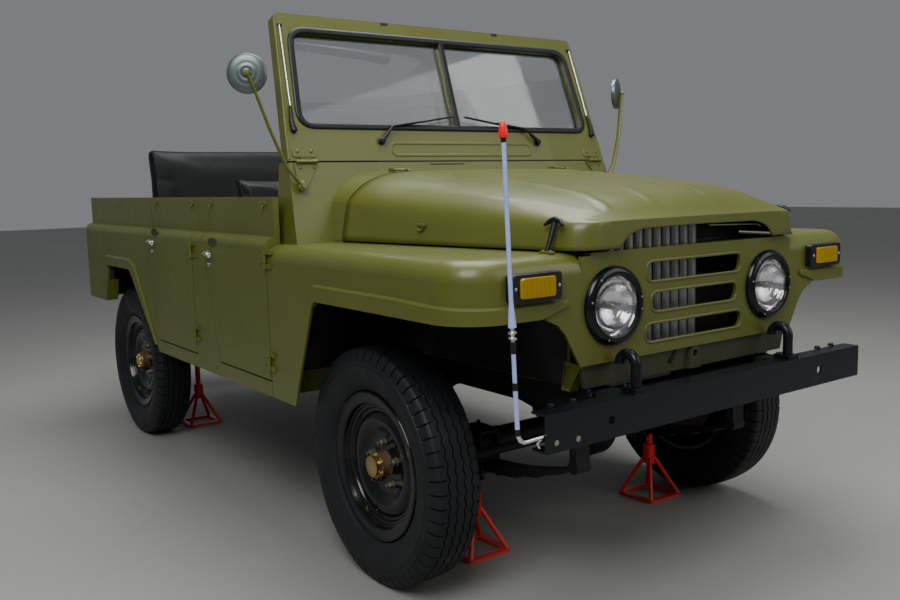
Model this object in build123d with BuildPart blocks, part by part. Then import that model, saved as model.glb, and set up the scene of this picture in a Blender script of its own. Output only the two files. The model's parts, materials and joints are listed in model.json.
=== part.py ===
"""Open four-door light military 4x4 car on axle stands, folded top removed.

Units are millimetres. +X points forward, +Y to the car's left and +Z up.
The origin is on the floor, under the middle of the whole length.
"""
from build123d import *
from math import atan2, cos, degrees, hypot, radians, sin, tan
import os

# Overall sizes
LENGTH = 3860.0
FRONT_OVERHANG = 718.0
WHEELBASE = 2300.0
TRACK = 1440.0
BODY_HALF = 870.0
FRONT_X = LENGTH / 2
REAR_X = -LENGTH / 2
FRONT_AXLE_X = FRONT_X - FRONT_OVERHANG
REAR_AXLE_X = FRONT_AXLE_X - WHEELBASE

# Running clearances
SEAT = 0.3
GAP = 6.0
PIN_CLEARANCE = 0.3

# Hinge pins and barrels
HINGE_BARREL = 7.0
HINGE_PIN = 4.0
HINGE_BORE = HINGE_PIN + PIN_CLEARANCE
HINGE_HALF = 32.0
HINGE_EAR = 16.0

# Wheels and tyres, 6.50-16
TYRE_RADIUS = 374.0
TYRE_WIDTH = 176.0
RIM_RADIUS = 203.0
RIM_LIP_RADIUS = 232.0
RIM_WIDTH = 128.0
STUD_COUNT = 5
STUD_CIRCLE = 139.7
STUD_RADIUS = 7.0
HUB_RADIUS = 42.0
HUB_REACH = 30.0
DRUM_RADIUS = 152.0
WHEEL_Y = TRACK / 2
AXLE_Z = TYRE_RADIUS

# Body levels and stations
SILL_BOTTOM = 515.0
DOOR_BOTTOM = 574.0
SHOULDER_Z = 1072.0
SHOULDER_ROLL = 37.0
STRIP_HALF = BODY_HALF - SHOULDER_ROLL
STRIP_TOP = 1206.0
STRIP_WALL = 20.0
WALL_INNER = STRIP_HALF - STRIP_WALL
REAR_BODY_X = -1580.0
REAR_BODY_BOTTOM = 677.0
DOOR_FRONT_X = 692.0
FRONT_DOOR_REAR_X = 108.0
REAR_DOOR_FRONT_X = -10.0
REAR_DOOR_REAR_X = -586.0
DOOR_SLANT = 0.28
DOOR_DRAW = 6.0

# Floors
FLOOR_Z = 570.0
REAR_FLOOR_Z = 770.0
FLOOR_SHEET = 14.0

# Tops of the wheel arches
FRONT_ARCH_TOP = 882.0
REAR_ARCH_TOP = 866.0

# Fenders and front
FENDER_TOP = 1045.0
FENDER_SKIN = 8.0
FENDER_ROLL = 55.0
FENDER_CORNER = 130.0
APRON_Y = 440.0
APRON_BOTTOM = 660.0
PANEL_X = 1815.0
PANEL_HALF = 474.0
PANEL_TOP = 1035.0
PANEL_BOTTOM = 735.0
PANEL_SKIN = 12.0

# Cowl and windshield
COWL_TOP = 1322.0
COWL_FRONT_X = 686.0
COWL_REAR_X = 615.0
COWL_TOP_HALF = 766.0
COWL_BOTTOM_HALF = 790.0
COWL_SKIN = 8.0
FIREWALL_X = 735.0
RAKE = 17.8
SCREEN_GAP = 6.0
SCREEN_HEIGHT = 556.0
SCREEN_TOP_HALF = 718.0
SCREEN_THICK = 42.0
SCREEN_PILLAR = 64.0
SCREEN_TOP_RAIL = 64.0
SCREEN_BOTTOM_RAIL = 134.0
SCREEN_DIVIDER = 18.0
GLASS_THICK = 6.0

# Hood
HOOD_SKIN = 10.0
HOOD_BOTTOM = FENDER_TOP + GAP
HOOD_REAR_HALF = 655.0
HOOD_NOSE_X = 1838.0


def block(x, y, z, mode=Mode.ADD):
    """A block between the two limits given for each axis."""
    with Locations(((x[0] + x[1]) / 2, (y[0] + y[1]) / 2, (z[0] + z[1]) / 2)):
        Box(x[1] - x[0], y[1] - y[0], z[1] - z[0], mode=mode)


def bar(start, end, radius, mode=Mode.ADD):
    """A round bar from one point to another."""
    first = Vector(*start)
    run = Vector(*end) - first
    with BuildSketch(Plane(origin=first, z_dir=run)) as section:
        Circle(radius)
    extrude(section.sketch, amount=run.length, mode=mode)


def prism(plane, points, amount, mode=Mode.ADD, both=False):
    """A straight prism on a closed outline."""
    with BuildSketch(plane) as outline:
        with BuildLine():
            Polyline(*points, close=True)
        make_face()
    extrude(outline.sketch, amount=amount, both=both, mode=mode)


def side_plane(y):
    """A plane across Y whose local x and y are the car's X and Z, with its normal to -Y."""
    return Plane(origin=(0, y, 0), x_dir=(1, 0, 0), z_dir=(0, -1, 0))


def front_plane(x):
    """A plane across X whose local x and y are the car's Y and Z."""
    return Plane(origin=(x, 0, 0), x_dir=(0, 1, 0), z_dir=(1, 0, 0))


def wheel_plane(x, y, z, side):
    """A plane through a road wheel's axis: local x runs outboard and local y is the radius."""
    return Plane(origin=(x, y, z), x_dir=(0, side, 0), z_dir=(1, 0, 0))


def turn(sketch, plane):
    """Revolve a section drawn on a wheel's plane about the wheel's axis."""
    revolve(sketch, axis=Axis(plane.origin, plane.x_dir))


def hinge_ears(pin_x, pin_y, z, leaf_x, leaf_y):
    """The fixed half of an upright hinge: a pin between two ears, each on its leaf."""
    bar((pin_x, pin_y, z - HINGE_HALF), (pin_x, pin_y, z + HINGE_HALF), HINGE_PIN)
    for low in (z - HINGE_HALF, z + HINGE_HALF - HINGE_EAR):
        bar((pin_x, pin_y, low), (pin_x, pin_y, low + HINGE_EAR), HINGE_BARREL)
        block(leaf_x, leaf_y, (low, low + HINGE_EAR))


def hinge_barrel(pin_x, pin_y, z, leaf_x, leaf_y):
    """The moving half of an upright hinge: a bored barrel on its leaf."""
    half = HINGE_HALF - HINGE_EAR - 1
    bar((pin_x, pin_y, z - half), (pin_x, pin_y, z + half), HINGE_BARREL)
    block(leaf_x, leaf_y, (z - half, z + half))
    bar((pin_x, pin_y, z - half - 1), (pin_x, pin_y, z + half + 1), HINGE_BORE, mode=Mode.SUBTRACT)


def store(builder, name):
    """Label a finished piece and write its file."""
    builder.part.label = name
    export_step(builder.part, f"parts/{name}.step")


os.makedirs("parts", exist_ok=True)

# Chassis frame
RAIL_INNER = 330.0
RAIL_OUTER = 400.0
RAIL_DEPTH = 86.0
RAIL_MID = (RAIL_INNER + RAIL_OUTER) / 2
RAIL_FRONT_TOP = 655.0
RAIL_CAB_TOP = 562.0
RAIL_REAR_TOP = 690.0
RAIL_TAIL_TOP = 660.0
RAIL_TAIL_X = -1552.0
BUMPER_SHEET = 6.0
RAIL_HORN_X = FRONT_X - BUMPER_SHEET - SEAT
# columns: x, top of the rail
RAIL_LINE = [
    (RAIL_HORN_X, RAIL_FRONT_TOP),
    (980.0, RAIL_FRONT_TOP),
    (790.0, RAIL_CAB_TOP),
    (-670.0, RAIL_CAB_TOP),
    (-780.0, RAIL_REAR_TOP),
    (-1400.0, RAIL_REAR_TOP),
    (RAIL_TAIL_X, RAIL_TAIL_TOP),
]


def rail_top(x):
    """Height of the rail's upper face at a station."""
    for (x0, z0), (x1, z1) in zip(RAIL_LINE, RAIL_LINE[1:]):
        if x1 <= x <= x0:
            return z0 + (z1 - z0) * (x0 - x) / (x0 - x1)
    return RAIL_TAIL_TOP


# columns: x centre, length in x, depth below the rail's top, height
CROSSMEMBERS = [
    (1760.0, 60.0, 20.0, 60.0),
    (880.0, 60.0, 56.0, 50.0),
    (460.0, 70.0, 4.0, 36.0),
    (-700.0, 60.0, 10.0, 60.0),
    (RAIL_TAIL_X + 30.0, 60.0, 10.0, 70.0),
]
# columns: x of a body mount, height of the body's floor over it
BODY_MOUNTS = [(600.0, FLOOR_Z), (-560.0, FLOOR_Z), (-800.0, REAR_FLOOR_Z), (-1380.0, REAR_FLOOR_Z)]
MOUNT_RUN = 70.0
HITCH_Z = 615.0
HITCH_EYE_X = RAIL_TAIL_X - 85.0
HITCH_EYE_BORE = 20.0
HITCH_EYE_WALL = 16.0
CRANK_GUIDE_Z = 712.0
CRANK_BORE = 16.0
with BuildPart() as frame_rails:
    upper = RAIL_LINE
    lower = [(x, z - RAIL_DEPTH) for x, z in reversed(RAIL_LINE)]
    prism(side_plane(RAIL_OUTER), upper + lower, RAIL_OUTER - RAIL_INNER)
    mirror(about=Plane.XZ)
    for x, run, drop, height in CROSSMEMBERS:
        top = rail_top(x) - drop
        block((x - run / 2, x + run / 2), (-RAIL_MID, RAIL_MID), (top - height, top))
    for x, floor_z in BODY_MOUNTS:
        for side in (-1, 1):
            near, far = sorted((side * RAIL_INNER, side * RAIL_OUTER))
            block((x - MOUNT_RUN / 2, x + MOUNT_RUN / 2), (near, far), (rail_top(x) - 10, floor_z - SEAT))
    # Pintle hitch on the tail crossmember
    block((RAIL_TAIL_X - 12, RAIL_TAIL_X), (-70, 70), (HITCH_Z - 45, HITCH_Z + 45))
    bar((RAIL_TAIL_X - 10, 0, HITCH_Z), (HITCH_EYE_X + HITCH_EYE_BORE + 8, 0, HITCH_Z), 22)
    with BuildSketch(side_plane(16)) as jaw:
        with Locations((HITCH_EYE_X, HITCH_Z)):
            Circle(HITCH_EYE_BORE + HITCH_EYE_WALL)
            Circle(HITCH_EYE_BORE, mode=Mode.SUBTRACT)
    extrude(jaw.sketch, amount=32)
store(frame_rails, "frame_rails")

# Front bumper with its two tow hooks
BUMPER_HALF = 709.0
BUMPER_Z = (561.0, 663.0)
BUMPER_DEPTH = 56.0
BUMPER_HOLE_Y = 478.0
BUMPER_HOLE_Z = 611.0
BUMPER_HOLE_R = 12.0
HOOK_Y = 350.0
HOOK_ROD = 15.0
HOOK_SETBACK = 32.0
HOOK_BASE_X = FRONT_X - HOOK_SETBACK
HOOK_RISE = 70.0
HOOK_RADIUS = 30.0
with BuildPart() as front_bumper:
    block((FRONT_X - BUMPER_DEPTH, FRONT_X), (-BUMPER_HALF, BUMPER_HALF), BUMPER_Z)
    block(
        (FRONT_X - BUMPER_DEPTH - 1, FRONT_X - BUMPER_SHEET),
        (-BUMPER_HALF - 1, BUMPER_HALF + 1),
        (BUMPER_Z[0] + BUMPER_SHEET, BUMPER_Z[1] - BUMPER_SHEET),
        mode=Mode.SUBTRACT,
    )
    for y in (-BUMPER_HOLE_Y, BUMPER_HOLE_Y):
        bar((FRONT_X - 20, y, BUMPER_HOLE_Z), (FRONT_X + 5, y, BUMPER_HOLE_Z), BUMPER_HOLE_R, mode=Mode.SUBTRACT)
    for y in (-HOOK_Y, HOOK_Y):
        top_z = BUMPER_Z[1] + HOOK_RISE
        with BuildLine() as path:
            Line((HOOK_BASE_X, y, BUMPER_Z[1]), (HOOK_BASE_X, y, top_z))
            ThreePointArc(
                (HOOK_BASE_X, y, top_z),
                (HOOK_BASE_X - HOOK_RADIUS, y, top_z + HOOK_RADIUS),
                (HOOK_BASE_X - 2 * HOOK_RADIUS, y, top_z),
            )
        with BuildSketch(Plane(origin=(HOOK_BASE_X, y, BUMPER_Z[1]), z_dir=(0, 0, 1))) as rod:
            Circle(HOOK_ROD)
        sweep(rod.sketch, path=path.wire())
        block((HOOK_BASE_X - 34, HOOK_BASE_X + 22), (y - 26, y + 26), (BUMPER_Z[1], BUMPER_Z[1] + 12))
store(front_bumper, "front_bumper")

# Leaf springs under the rails and the axles
SPRING_Y = RAIL_MID
SPRING_WIDTH = 56.0
SPRING_LEAF = 8.0
SPRING_HALF_SPAN = 480.0
SPRING_EYE_RISE = 80.0
EYE_RADIUS = 20.0
AXLE_TUBE_RADIUS = 38.0
# columns: half length as a share of the main leaf's half span, from the main leaf down
SPRING_LEAVES = [1.0, 0.86, 0.66, 0.46]
SPRING_PAD = 12.0
SPRING_ARC_RADIUS = (SPRING_HALF_SPAN**2 + SPRING_EYE_RISE**2) / (2 * SPRING_EYE_RISE)
MAIN_LEAF_Z = AXLE_Z - AXLE_TUBE_RADIUS - SPRING_PAD
PACK_BOTTOM = MAIN_LEAF_Z - SPRING_LEAF * len(SPRING_LEAVES)
EYE_Z = MAIN_LEAF_Z + SPRING_EYE_RISE
CLAMP_PLATE = 12.0


def leaf(axle_x, y, order, share):
    """One leaf, a bent strip of constant curvature, order 0 on top."""
    outer = SPRING_ARC_RADIUS + SPRING_LEAF * (order + 1)
    inner = SPRING_ARC_RADIUS + SPRING_LEAF * order
    swing = degrees(atan2(SPRING_HALF_SPAN, SPRING_ARC_RADIUS - SPRING_EYE_RISE)) * share
    centre_z = MAIN_LEAF_Z + SPRING_ARC_RADIUS
    with BuildSketch(side_plane(y + SPRING_WIDTH / 2)) as strip:
        with BuildLine():
            low = CenterArc((axle_x, centre_z), outer, 270 - swing, 2 * swing)
            high = CenterArc((axle_x, centre_z), inner, 270 - swing, 2 * swing)
            Line(low @ 0, high @ 0)
            Line(low @ 1, high @ 1)
        make_face()
    extrude(strip.sketch, amount=SPRING_WIDTH)


with BuildPart() as leaf_springs:
    near_y = SPRING_Y - SPRING_WIDTH / 2
    far_y = SPRING_Y + SPRING_WIDTH / 2
    for axle_x in (FRONT_AXLE_X, REAR_AXLE_X):
        for order, share in enumerate(SPRING_LEAVES):
            leaf(axle_x, SPRING_Y, order, share)
        # Eyes, with the hanger at one end and the shackle at the other
        for end in (-1, 1):
            eye_x = axle_x + end * SPRING_HALF_SPAN
            bar((eye_x, near_y, EYE_Z), (eye_x, far_y, EYE_Z), EYE_RADIUS)
            rail_bottom = rail_top(eye_x) - RAIL_DEPTH - SEAT
            block((eye_x - 14, eye_x + 14), (near_y, far_y), (EYE_Z, rail_bottom))
        # Pad, saddle and clamp plate round the axle, tied by four bolts
        tube_low = AXLE_Z - AXLE_TUBE_RADIUS - SEAT
        tube_high = AXLE_Z + AXLE_TUBE_RADIUS + SEAT
        reach = (axle_x - 58, axle_x + 58)
        block(reach, (near_y, far_y), (MAIN_LEAF_Z, tube_low))
        block(reach, (near_y - 14, far_y + 14), (PACK_BOTTOM - CLAMP_PLATE, PACK_BOTTOM + 2))
        block(reach, (near_y - 14, far_y + 14), (tube_high, tube_high + CLAMP_PLATE))
        for x in (axle_x - 48, axle_x + 48):
            for y in (near_y - 7, far_y + 7):
                bar((x, y, PACK_BOTTOM - CLAMP_PLATE - 8), (x, y, tube_high + CLAMP_PLATE + 8), 6)
    mirror(about=Plane.XZ)
store(leaf_springs, "leaf_springs")

# Axles
DIFF_RADIUS = 140.0
DIFF_Y = 130.0
DIFF_WIDTH = 130.0
PINION_LENGTH = 210.0
KINGPIN_Y = 600.0
KINGPIN_RADIUS = 14.0
YOKE_HALF = 66.0
YOKE_LUG = 22.0
YOKE_THROAT = 46.0
DRUM_INNER_Y = WHEEL_Y - 62.0
BACKPLATE = 6.0


def diff_case(x, y, nose):
    """The differential's round case on an axle, with its pinion nose forward (1) or back (-1)."""
    with BuildSketch(Plane(origin=(x, 0, AXLE_Z), x_dir=(0, 1, 0), z_dir=(1, 0, 0))) as bowl:
        with BuildLine():
            Polyline(
                (y - DIFF_WIDTH, AXLE_TUBE_RADIUS - 4),
                (y - DIFF_WIDTH / 2, DIFF_RADIUS * 0.82),
                (y - DIFF_WIDTH / 5, DIFF_RADIUS),
                (y + DIFF_WIDTH / 5, DIFF_RADIUS),
                (y + DIFF_WIDTH / 2, DIFF_RADIUS * 0.82),
                (y + DIFF_WIDTH, AXLE_TUBE_RADIUS - 4),
                (y + DIFF_WIDTH, 0),
                (y - DIFF_WIDTH, 0),
                close=True,
            )
        make_face()
    revolve(bowl.sketch, axis=Axis((x, 0, AXLE_Z), (0, 1, 0)))
    bar((x, y, AXLE_Z), (x + nose * PINION_LENGTH, y, AXLE_Z), 52)


with BuildPart() as front_axle:
    tube_end = KINGPIN_Y - YOKE_THROAT
    bar((FRONT_AXLE_X, -tube_end, AXLE_Z), (FRONT_AXLE_X, tube_end, AXLE_Z), AXLE_TUBE_RADIUS)
    diff_case(FRONT_AXLE_X, DIFF_Y, -1)
    for side in (-1, 1):
        near, far = sorted((side * (tube_end - 12), side * tube_end))
        block(
            (FRONT_AXLE_X - 34, FRONT_AXLE_X + 34),
            (near, far),
            (AXLE_Z - YOKE_HALF - YOKE_LUG, AXLE_Z + YOKE_HALF + YOKE_LUG),
        )
        for lug_z in (AXLE_Z - YOKE_HALF - YOKE_LUG, AXLE_Z + YOKE_HALF):
            near, far = sorted((side * tube_end, side * KINGPIN_Y))
            block((FRONT_AXLE_X - 34, FRONT_AXLE_X + 34), (near, far), (lug_z, lug_z + YOKE_LUG))
            bar((FRONT_AXLE_X, side * KINGPIN_Y, lug_z), (FRONT_AXLE_X, side * KINGPIN_Y, lug_z + YOKE_LUG), 34)
        bore_low = (FRONT_AXLE_X, side * KINGPIN_Y, AXLE_Z - YOKE_HALF - YOKE_LUG - 5)
        bore_high = (FRONT_AXLE_X, side * KINGPIN_Y, AXLE_Z + YOKE_HALF + YOKE_LUG + 5)
        bar(bore_low, bore_high, KINGPIN_RADIUS + PIN_CLEARANCE, mode=Mode.SUBTRACT)
store(front_axle, "front_axle")

SPINDLE_RADIUS = 24.0
HUB_BORE_RADIUS = SPINDLE_RADIUS + PIN_CLEARANCE
SPINDLE_END_Y = WHEEL_Y - 10.0
with BuildPart() as rear_axle:
    bar((REAR_AXLE_X, -DRUM_INNER_Y + 20, AXLE_Z), (REAR_AXLE_X, DRUM_INNER_Y - 20, AXLE_Z), AXLE_TUBE_RADIUS)
    diff_case(REAR_AXLE_X, 0, 1)
    for side in (-1, 1):
        bar((REAR_AXLE_X, side * (DRUM_INNER_Y - 20), AXLE_Z), (REAR_AXLE_X, side * SPINDLE_END_Y, AXLE_Z), SPINDLE_RADIUS)
        bar(
            (REAR_AXLE_X, side * (DRUM_INNER_Y - BACKPLATE - 6), AXLE_Z),
            (REAR_AXLE_X, side * (DRUM_INNER_Y - 6), AXLE_Z),
            DRUM_RADIUS + 6,
        )
store(rear_axle, "rear_axle")

# Steering knuckles and track rod
STEER_ARM = 190.0
STEER_ARM_Z = AXLE_Z + 30.0
TRACK_ROD_X = FRONT_AXLE_X + STEER_ARM
TRACK_ROD_RADIUS = 14.0
BALL_PIN_RADIUS = 9.0
KNUCKLE_CLEAR = 1.0
for side, name in ((-1, "knuckle_right"), (1, "knuckle_left")):
    with BuildPart() as knuckle:
        half_z = YOKE_HALF - KNUCKLE_CLEAR
        bar((FRONT_AXLE_X, side * KINGPIN_Y, AXLE_Z - half_z), (FRONT_AXLE_X, side * KINGPIN_Y, AXLE_Z + half_z), 30)
        pin_z = YOKE_HALF + YOKE_LUG
        bar(
            (FRONT_AXLE_X, side * KINGPIN_Y, AXLE_Z - pin_z),
            (FRONT_AXLE_X, side * KINGPIN_Y, AXLE_Z + pin_z),
            KINGPIN_RADIUS,
        )
        bar((FRONT_AXLE_X, side * KINGPIN_Y, AXLE_Z), (FRONT_AXLE_X, side * (DRUM_INNER_Y - 7), AXLE_Z), 40)
        bar(
            (FRONT_AXLE_X, side * (DRUM_INNER_Y - BACKPLATE - 6), AXLE_Z),
            (FRONT_AXLE_X, side * (DRUM_INNER_Y - 6), AXLE_Z),
            DRUM_RADIUS + 6,
        )
        bar((FRONT_AXLE_X, side * (DRUM_INNER_Y - 8), AXLE_Z), (FRONT_AXLE_X, side * SPINDLE_END_Y, AXLE_Z), SPINDLE_RADIUS)
        arm_z = (STEER_ARM_Z + TRACK_ROD_RADIUS + 4, STEER_ARM_Z + TRACK_ROD_RADIUS + 18)
        block((FRONT_AXLE_X + 20, TRACK_ROD_X), (side * KINGPIN_Y - 13, side * KINGPIN_Y + 13), arm_z)
        bar((TRACK_ROD_X, side * KINGPIN_Y, arm_z[0]), (TRACK_ROD_X, side * KINGPIN_Y, arm_z[1]), 17)
        pin_low = (TRACK_ROD_X, side * KINGPIN_Y, STEER_ARM_Z - TRACK_ROD_RADIUS - 4)
        bar((TRACK_ROD_X, side * KINGPIN_Y, arm_z[0] + 1), pin_low, BALL_PIN_RADIUS)
    store(knuckle, name)

with BuildPart() as track_rod:
    bar((TRACK_ROD_X, -KINGPIN_Y + 12, STEER_ARM_Z), (TRACK_ROD_X, KINGPIN_Y - 12, STEER_ARM_Z), TRACK_ROD_RADIUS)
    for side in (-1, 1):
        bar(
            (TRACK_ROD_X, side * KINGPIN_Y, STEER_ARM_Z - TRACK_ROD_RADIUS - 2),
            (TRACK_ROD_X, side * KINGPIN_Y, STEER_ARM_Z + TRACK_ROD_RADIUS + 2),
            20,
        )
        bar(
            (TRACK_ROD_X, side * KINGPIN_Y, STEER_ARM_Z - 30),
            (TRACK_ROD_X, side * KINGPIN_Y, STEER_ARM_Z + 30),
            BALL_PIN_RADIUS + PIN_CLEARANCE,
            mode=Mode.SUBTRACT,
        )
store(track_rod, "track_rod")

# Wheels and tyres
BARREL = 6.0
RIM_HALF = RIM_WIDTH / 2
DISC_Y = 18.0
# columns: outboard offset from the wheel's middle, radius, for the rim's closed section
RIM_SECTION = [
    (-RIM_HALF, RIM_LIP_RADIUS),
    (-RIM_HALF + 12, RIM_LIP_RADIUS),
    (-RIM_HALF + 12, RIM_RADIUS),
    (RIM_HALF - 12, RIM_RADIUS),
    (RIM_HALF - 12, RIM_LIP_RADIUS),
    (RIM_HALF, RIM_LIP_RADIUS),
    (RIM_HALF, RIM_RADIUS - BARREL),
    (DISC_Y + 26, RIM_RADIUS - BARREL),
    (DISC_Y + 14, RIM_RADIUS - 26),
    (DISC_Y + 24, RIM_RADIUS - 44),
    (DISC_Y + 24, RIM_RADIUS - 66),
    (DISC_Y, RIM_RADIUS - 92),
    (DISC_Y, HUB_RADIUS),
    (DISC_Y - 8, HUB_RADIUS),
    (DISC_Y - 8, RIM_RADIUS - 96),
    (DISC_Y + 14, RIM_RADIUS - 70),
    (DISC_Y + 14, RIM_RADIUS - 48),
    (DISC_Y + 4, RIM_RADIUS - 30),
    (DISC_Y + 14, RIM_RADIUS - 2 * BARREL),
    (-RIM_HALF, RIM_RADIUS - BARREL),
]
# columns: outboard offset, radius, for the tyre's outer half section from bead to crown
TYRE_HALF = TYRE_WIDTH / 2
TYRE_BEAD_Y = RIM_HALF - 12 - SEAT
TYRE_FIT_RADIUS = RIM_RADIUS + SEAT
TYRE_CROWN_HALF = 62.0


def tyre(plane):
    """A tyre of round shoulders and bulging walls on its rim."""
    with BuildSketch(plane) as section:
        with BuildLine():
            for half in (-1, 1):
                Line((half * TYRE_BEAD_Y, TYRE_FIT_RADIUS), (half * TYRE_BEAD_Y, RIM_LIP_RADIUS))
                Line((half * TYRE_BEAD_Y, RIM_LIP_RADIUS), (half * (TYRE_BEAD_Y + 8), RIM_LIP_RADIUS + 6))
                ThreePointArc(
                    (half * (TYRE_BEAD_Y + 8), RIM_LIP_RADIUS + 6),
                    (half * TYRE_HALF, (RIM_LIP_RADIUS + TYRE_RADIUS) / 2 - 6),
                    (half * (TYRE_HALF - 9), TYRE_RADIUS - 26),
                )
                ThreePointArc(
                    (half * (TYRE_HALF - 9), TYRE_RADIUS - 26),
                    (half * (TYRE_CROWN_HALF + 11), TYRE_RADIUS - 9),
                    (half * TYRE_CROWN_HALF, TYRE_RADIUS - 3),
                )
            ThreePointArc((-TYRE_CROWN_HALF, TYRE_RADIUS - 3), (0, TYRE_RADIUS), (TYRE_CROWN_HALF, TYRE_RADIUS - 3))
            Line((-TYRE_BEAD_Y, TYRE_FIT_RADIUS), (TYRE_BEAD_Y, TYRE_FIT_RADIUS))
        make_face()
    turn(section.sketch, plane)


def rim(plane):
    """A pressed wheel with its stepped disc."""
    with BuildSketch(plane) as section:
        with BuildLine():
            Polyline(*RIM_SECTION, close=True)
        make_face()
    turn(section.sketch, plane)


def hub(plane):
    """The brake drum, hub flange and cap that turn with a road wheel."""
    drum_inner = DRUM_INNER_Y - WHEEL_Y
    with BuildSketch(plane) as section:
        with BuildLine():
            Polyline(
                (drum_inner, DRUM_RADIUS),
                (DISC_Y - 30, DRUM_RADIUS),
                (DISC_Y - 8, HUB_RADIUS + 62),
                (DISC_Y - 8, HUB_RADIUS),
                (DISC_Y + HUB_REACH, HUB_RADIUS - 3),
                (DISC_Y + HUB_REACH, HUB_RADIUS - 16),
                (DISC_Y + HUB_REACH + 26, HUB_RADIUS - 20),
                (DISC_Y + HUB_REACH + 26, 0),
                (-2, 0),
                (-2, HUB_BORE_RADIUS),
                (drum_inner + 20, HUB_BORE_RADIUS),
                (drum_inner + 20, DRUM_RADIUS - 14),
                (drum_inner, DRUM_RADIUS - 14),
                close=True,
            )
        make_face()
    turn(section.sketch, plane)


ROAD_WHEELS = [
    ("front_right", FRONT_AXLE_X, -1),
    ("front_left", FRONT_AXLE_X, 1),
    ("rear_right", REAR_AXLE_X, -1),
    ("rear_left", REAR_AXLE_X, 1),
]
for place, axle_x, side in ROAD_WHEELS:
    plane = wheel_plane(axle_x, side * WHEEL_Y, AXLE_Z, side)
    with BuildPart() as road_tyre:
        tyre(plane)
    store(road_tyre, f"tyre_{place}")
    with BuildPart() as road_wheel:
        rim(plane)
        hub(plane)
        stud_plane = Plane(
            origin=(axle_x, side * (WHEEL_Y + DISC_Y - 4), AXLE_Z), x_dir=(1, 0, 0), z_dir=(0, side, 0)
        )
        with BuildSketch(stud_plane) as studs:
            with PolarLocations(STUD_CIRCLE / 2, STUD_COUNT, start_angle=90):
                Circle(STUD_RADIUS)
        extrude(studs.sketch, amount=30)
    store(road_wheel, f"wheel_{place}")

# Engine, gearbox and transfer case, each a plain block, and the two drive shafts
ENGINE = ((1000.0, 1560.0), (-190.0, 190.0), (545.0, 1060.0))
GEARBOX = ((330.0, 1000.0), (-110.0, 110.0), (560.0, 745.0))
TRANSFER = ((150.0, 330.0), (-120.0, 150.0), (450.0, 690.0))
SHAFT_RADIUS = 27.0
FLANGE_RADIUS = 48.0
with BuildPart() as powertrain:
    for x, y, z in (ENGINE, GEARBOX, TRANSFER):
        block(x, y, z)
    # Cooling fan on the engine's nose
    bar((ENGINE[0][1], 0, 860), (ENGINE[0][1] + 60, 0, 860), 30)
    bar((ENGINE[0][1] + 50, 0, 860), (ENGINE[0][1] + 62, 0, 860), 190)
store(powertrain, "powertrain")

with BuildPart() as drive_shafts:
    front_start = (TRANSFER[0][1] + SEAT, DIFF_Y, 505)
    front_end = (FRONT_AXLE_X - PINION_LENGTH - SEAT, DIFF_Y, AXLE_Z)
    rear_start = (TRANSFER[0][0] - SEAT, 0, 505)
    rear_end = (REAR_AXLE_X + PINION_LENGTH + SEAT, 0, AXLE_Z)
    for start, end in ((front_start, front_end), (rear_start, rear_end)):
        ahead = 1 if end[0] > start[0] else -1
        inner_start = (start[0] + ahead * 20, start[1], start[2])
        inner_end = (end[0] - ahead * 20, end[1], end[2])
        bar(inner_start, inner_end, SHAFT_RADIUS)
        bar(start, (start[0] + ahead * 30, start[1], start[2]), FLANGE_RADIUS)
        bar((end[0] - ahead * 30, end[1], end[2]), end, FLANGE_RADIUS)
store(drive_shafts, "drive_shafts")

# Body floor with its tunnel, heel board and rear wheel boxes
FLOOR_HALF = WALL_INNER - SEAT
HEEL_X = -640.0
BOX_HALF = 585.0
BOX_TOP = 890.0
BOX_REAR_X = -1500.0
BOX_SHEET = 10.0
TUNNEL_HALF = 165.0
TUNNEL_TOP = 790.0
TUNNEL_REAR_X = -60.0
with BuildPart() as floor_pan:
    block((HEEL_X, DOOR_FRONT_X + 4), (-FLOOR_HALF, FLOOR_HALF), (FLOOR_Z, FLOOR_Z + FLOOR_SHEET))
    block((DOOR_FRONT_X, FIREWALL_X - SEAT), (-APRON_Y + SEAT, APRON_Y - SEAT), (FLOOR_Z, FLOOR_Z + FLOOR_SHEET))
    block((HEEL_X - BOX_SHEET, HEEL_X), (-FLOOR_HALF, FLOOR_HALF), (FLOOR_Z, REAR_FLOOR_Z + FLOOR_SHEET))
    block((REAR_BODY_X + 50, HEEL_X), (-BOX_HALF, BOX_HALF), (REAR_FLOOR_Z, REAR_FLOOR_Z + FLOOR_SHEET))
    for side in (-1, 1):
        near, far = sorted((side * (BOX_HALF - BOX_SHEET), side * BOX_HALF))
        block((BOX_REAR_X, HEEL_X), (near, far), (REAR_FLOOR_Z, BOX_TOP))
        near, far = sorted((side * (BOX_HALF - BOX_SHEET), side * FLOOR_HALF))
        block((BOX_REAR_X, HEEL_X), (near, far), (BOX_TOP - BOX_SHEET, BOX_TOP))
        block((HEEL_X - BOX_SHEET, HEEL_X), (near, far), (FLOOR_Z, BOX_TOP))
        block((BOX_REAR_X - BOX_SHEET, BOX_REAR_X), (near, far), (REAR_BODY_BOTTOM, BOX_TOP))
        block((REAR_BODY_X + 50, BOX_REAR_X), (near, far), (REAR_FLOOR_Z, REAR_FLOOR_Z + FLOOR_SHEET))
    # Tunnel over the gearbox
    block((TUNNEL_REAR_X, FIREWALL_X - SEAT), (-TUNNEL_HALF, TUNNEL_HALF), (FLOOR_Z, TUNNEL_TOP))
    block(
        (TUNNEL_REAR_X + BOX_SHEET, FIREWALL_X),
        (-TUNNEL_HALF + BOX_SHEET, TUNNEL_HALF - BOX_SHEET),
        (FLOOR_Z - 1, TUNNEL_TOP - BOX_SHEET),
        mode=Mode.SUBTRACT,
    )
store(floor_pan, "floor_pan")

# Side walls with the door openings
ROLL_CENTRE_Z = SHOULDER_Z - SHOULDER_ROLL


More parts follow.
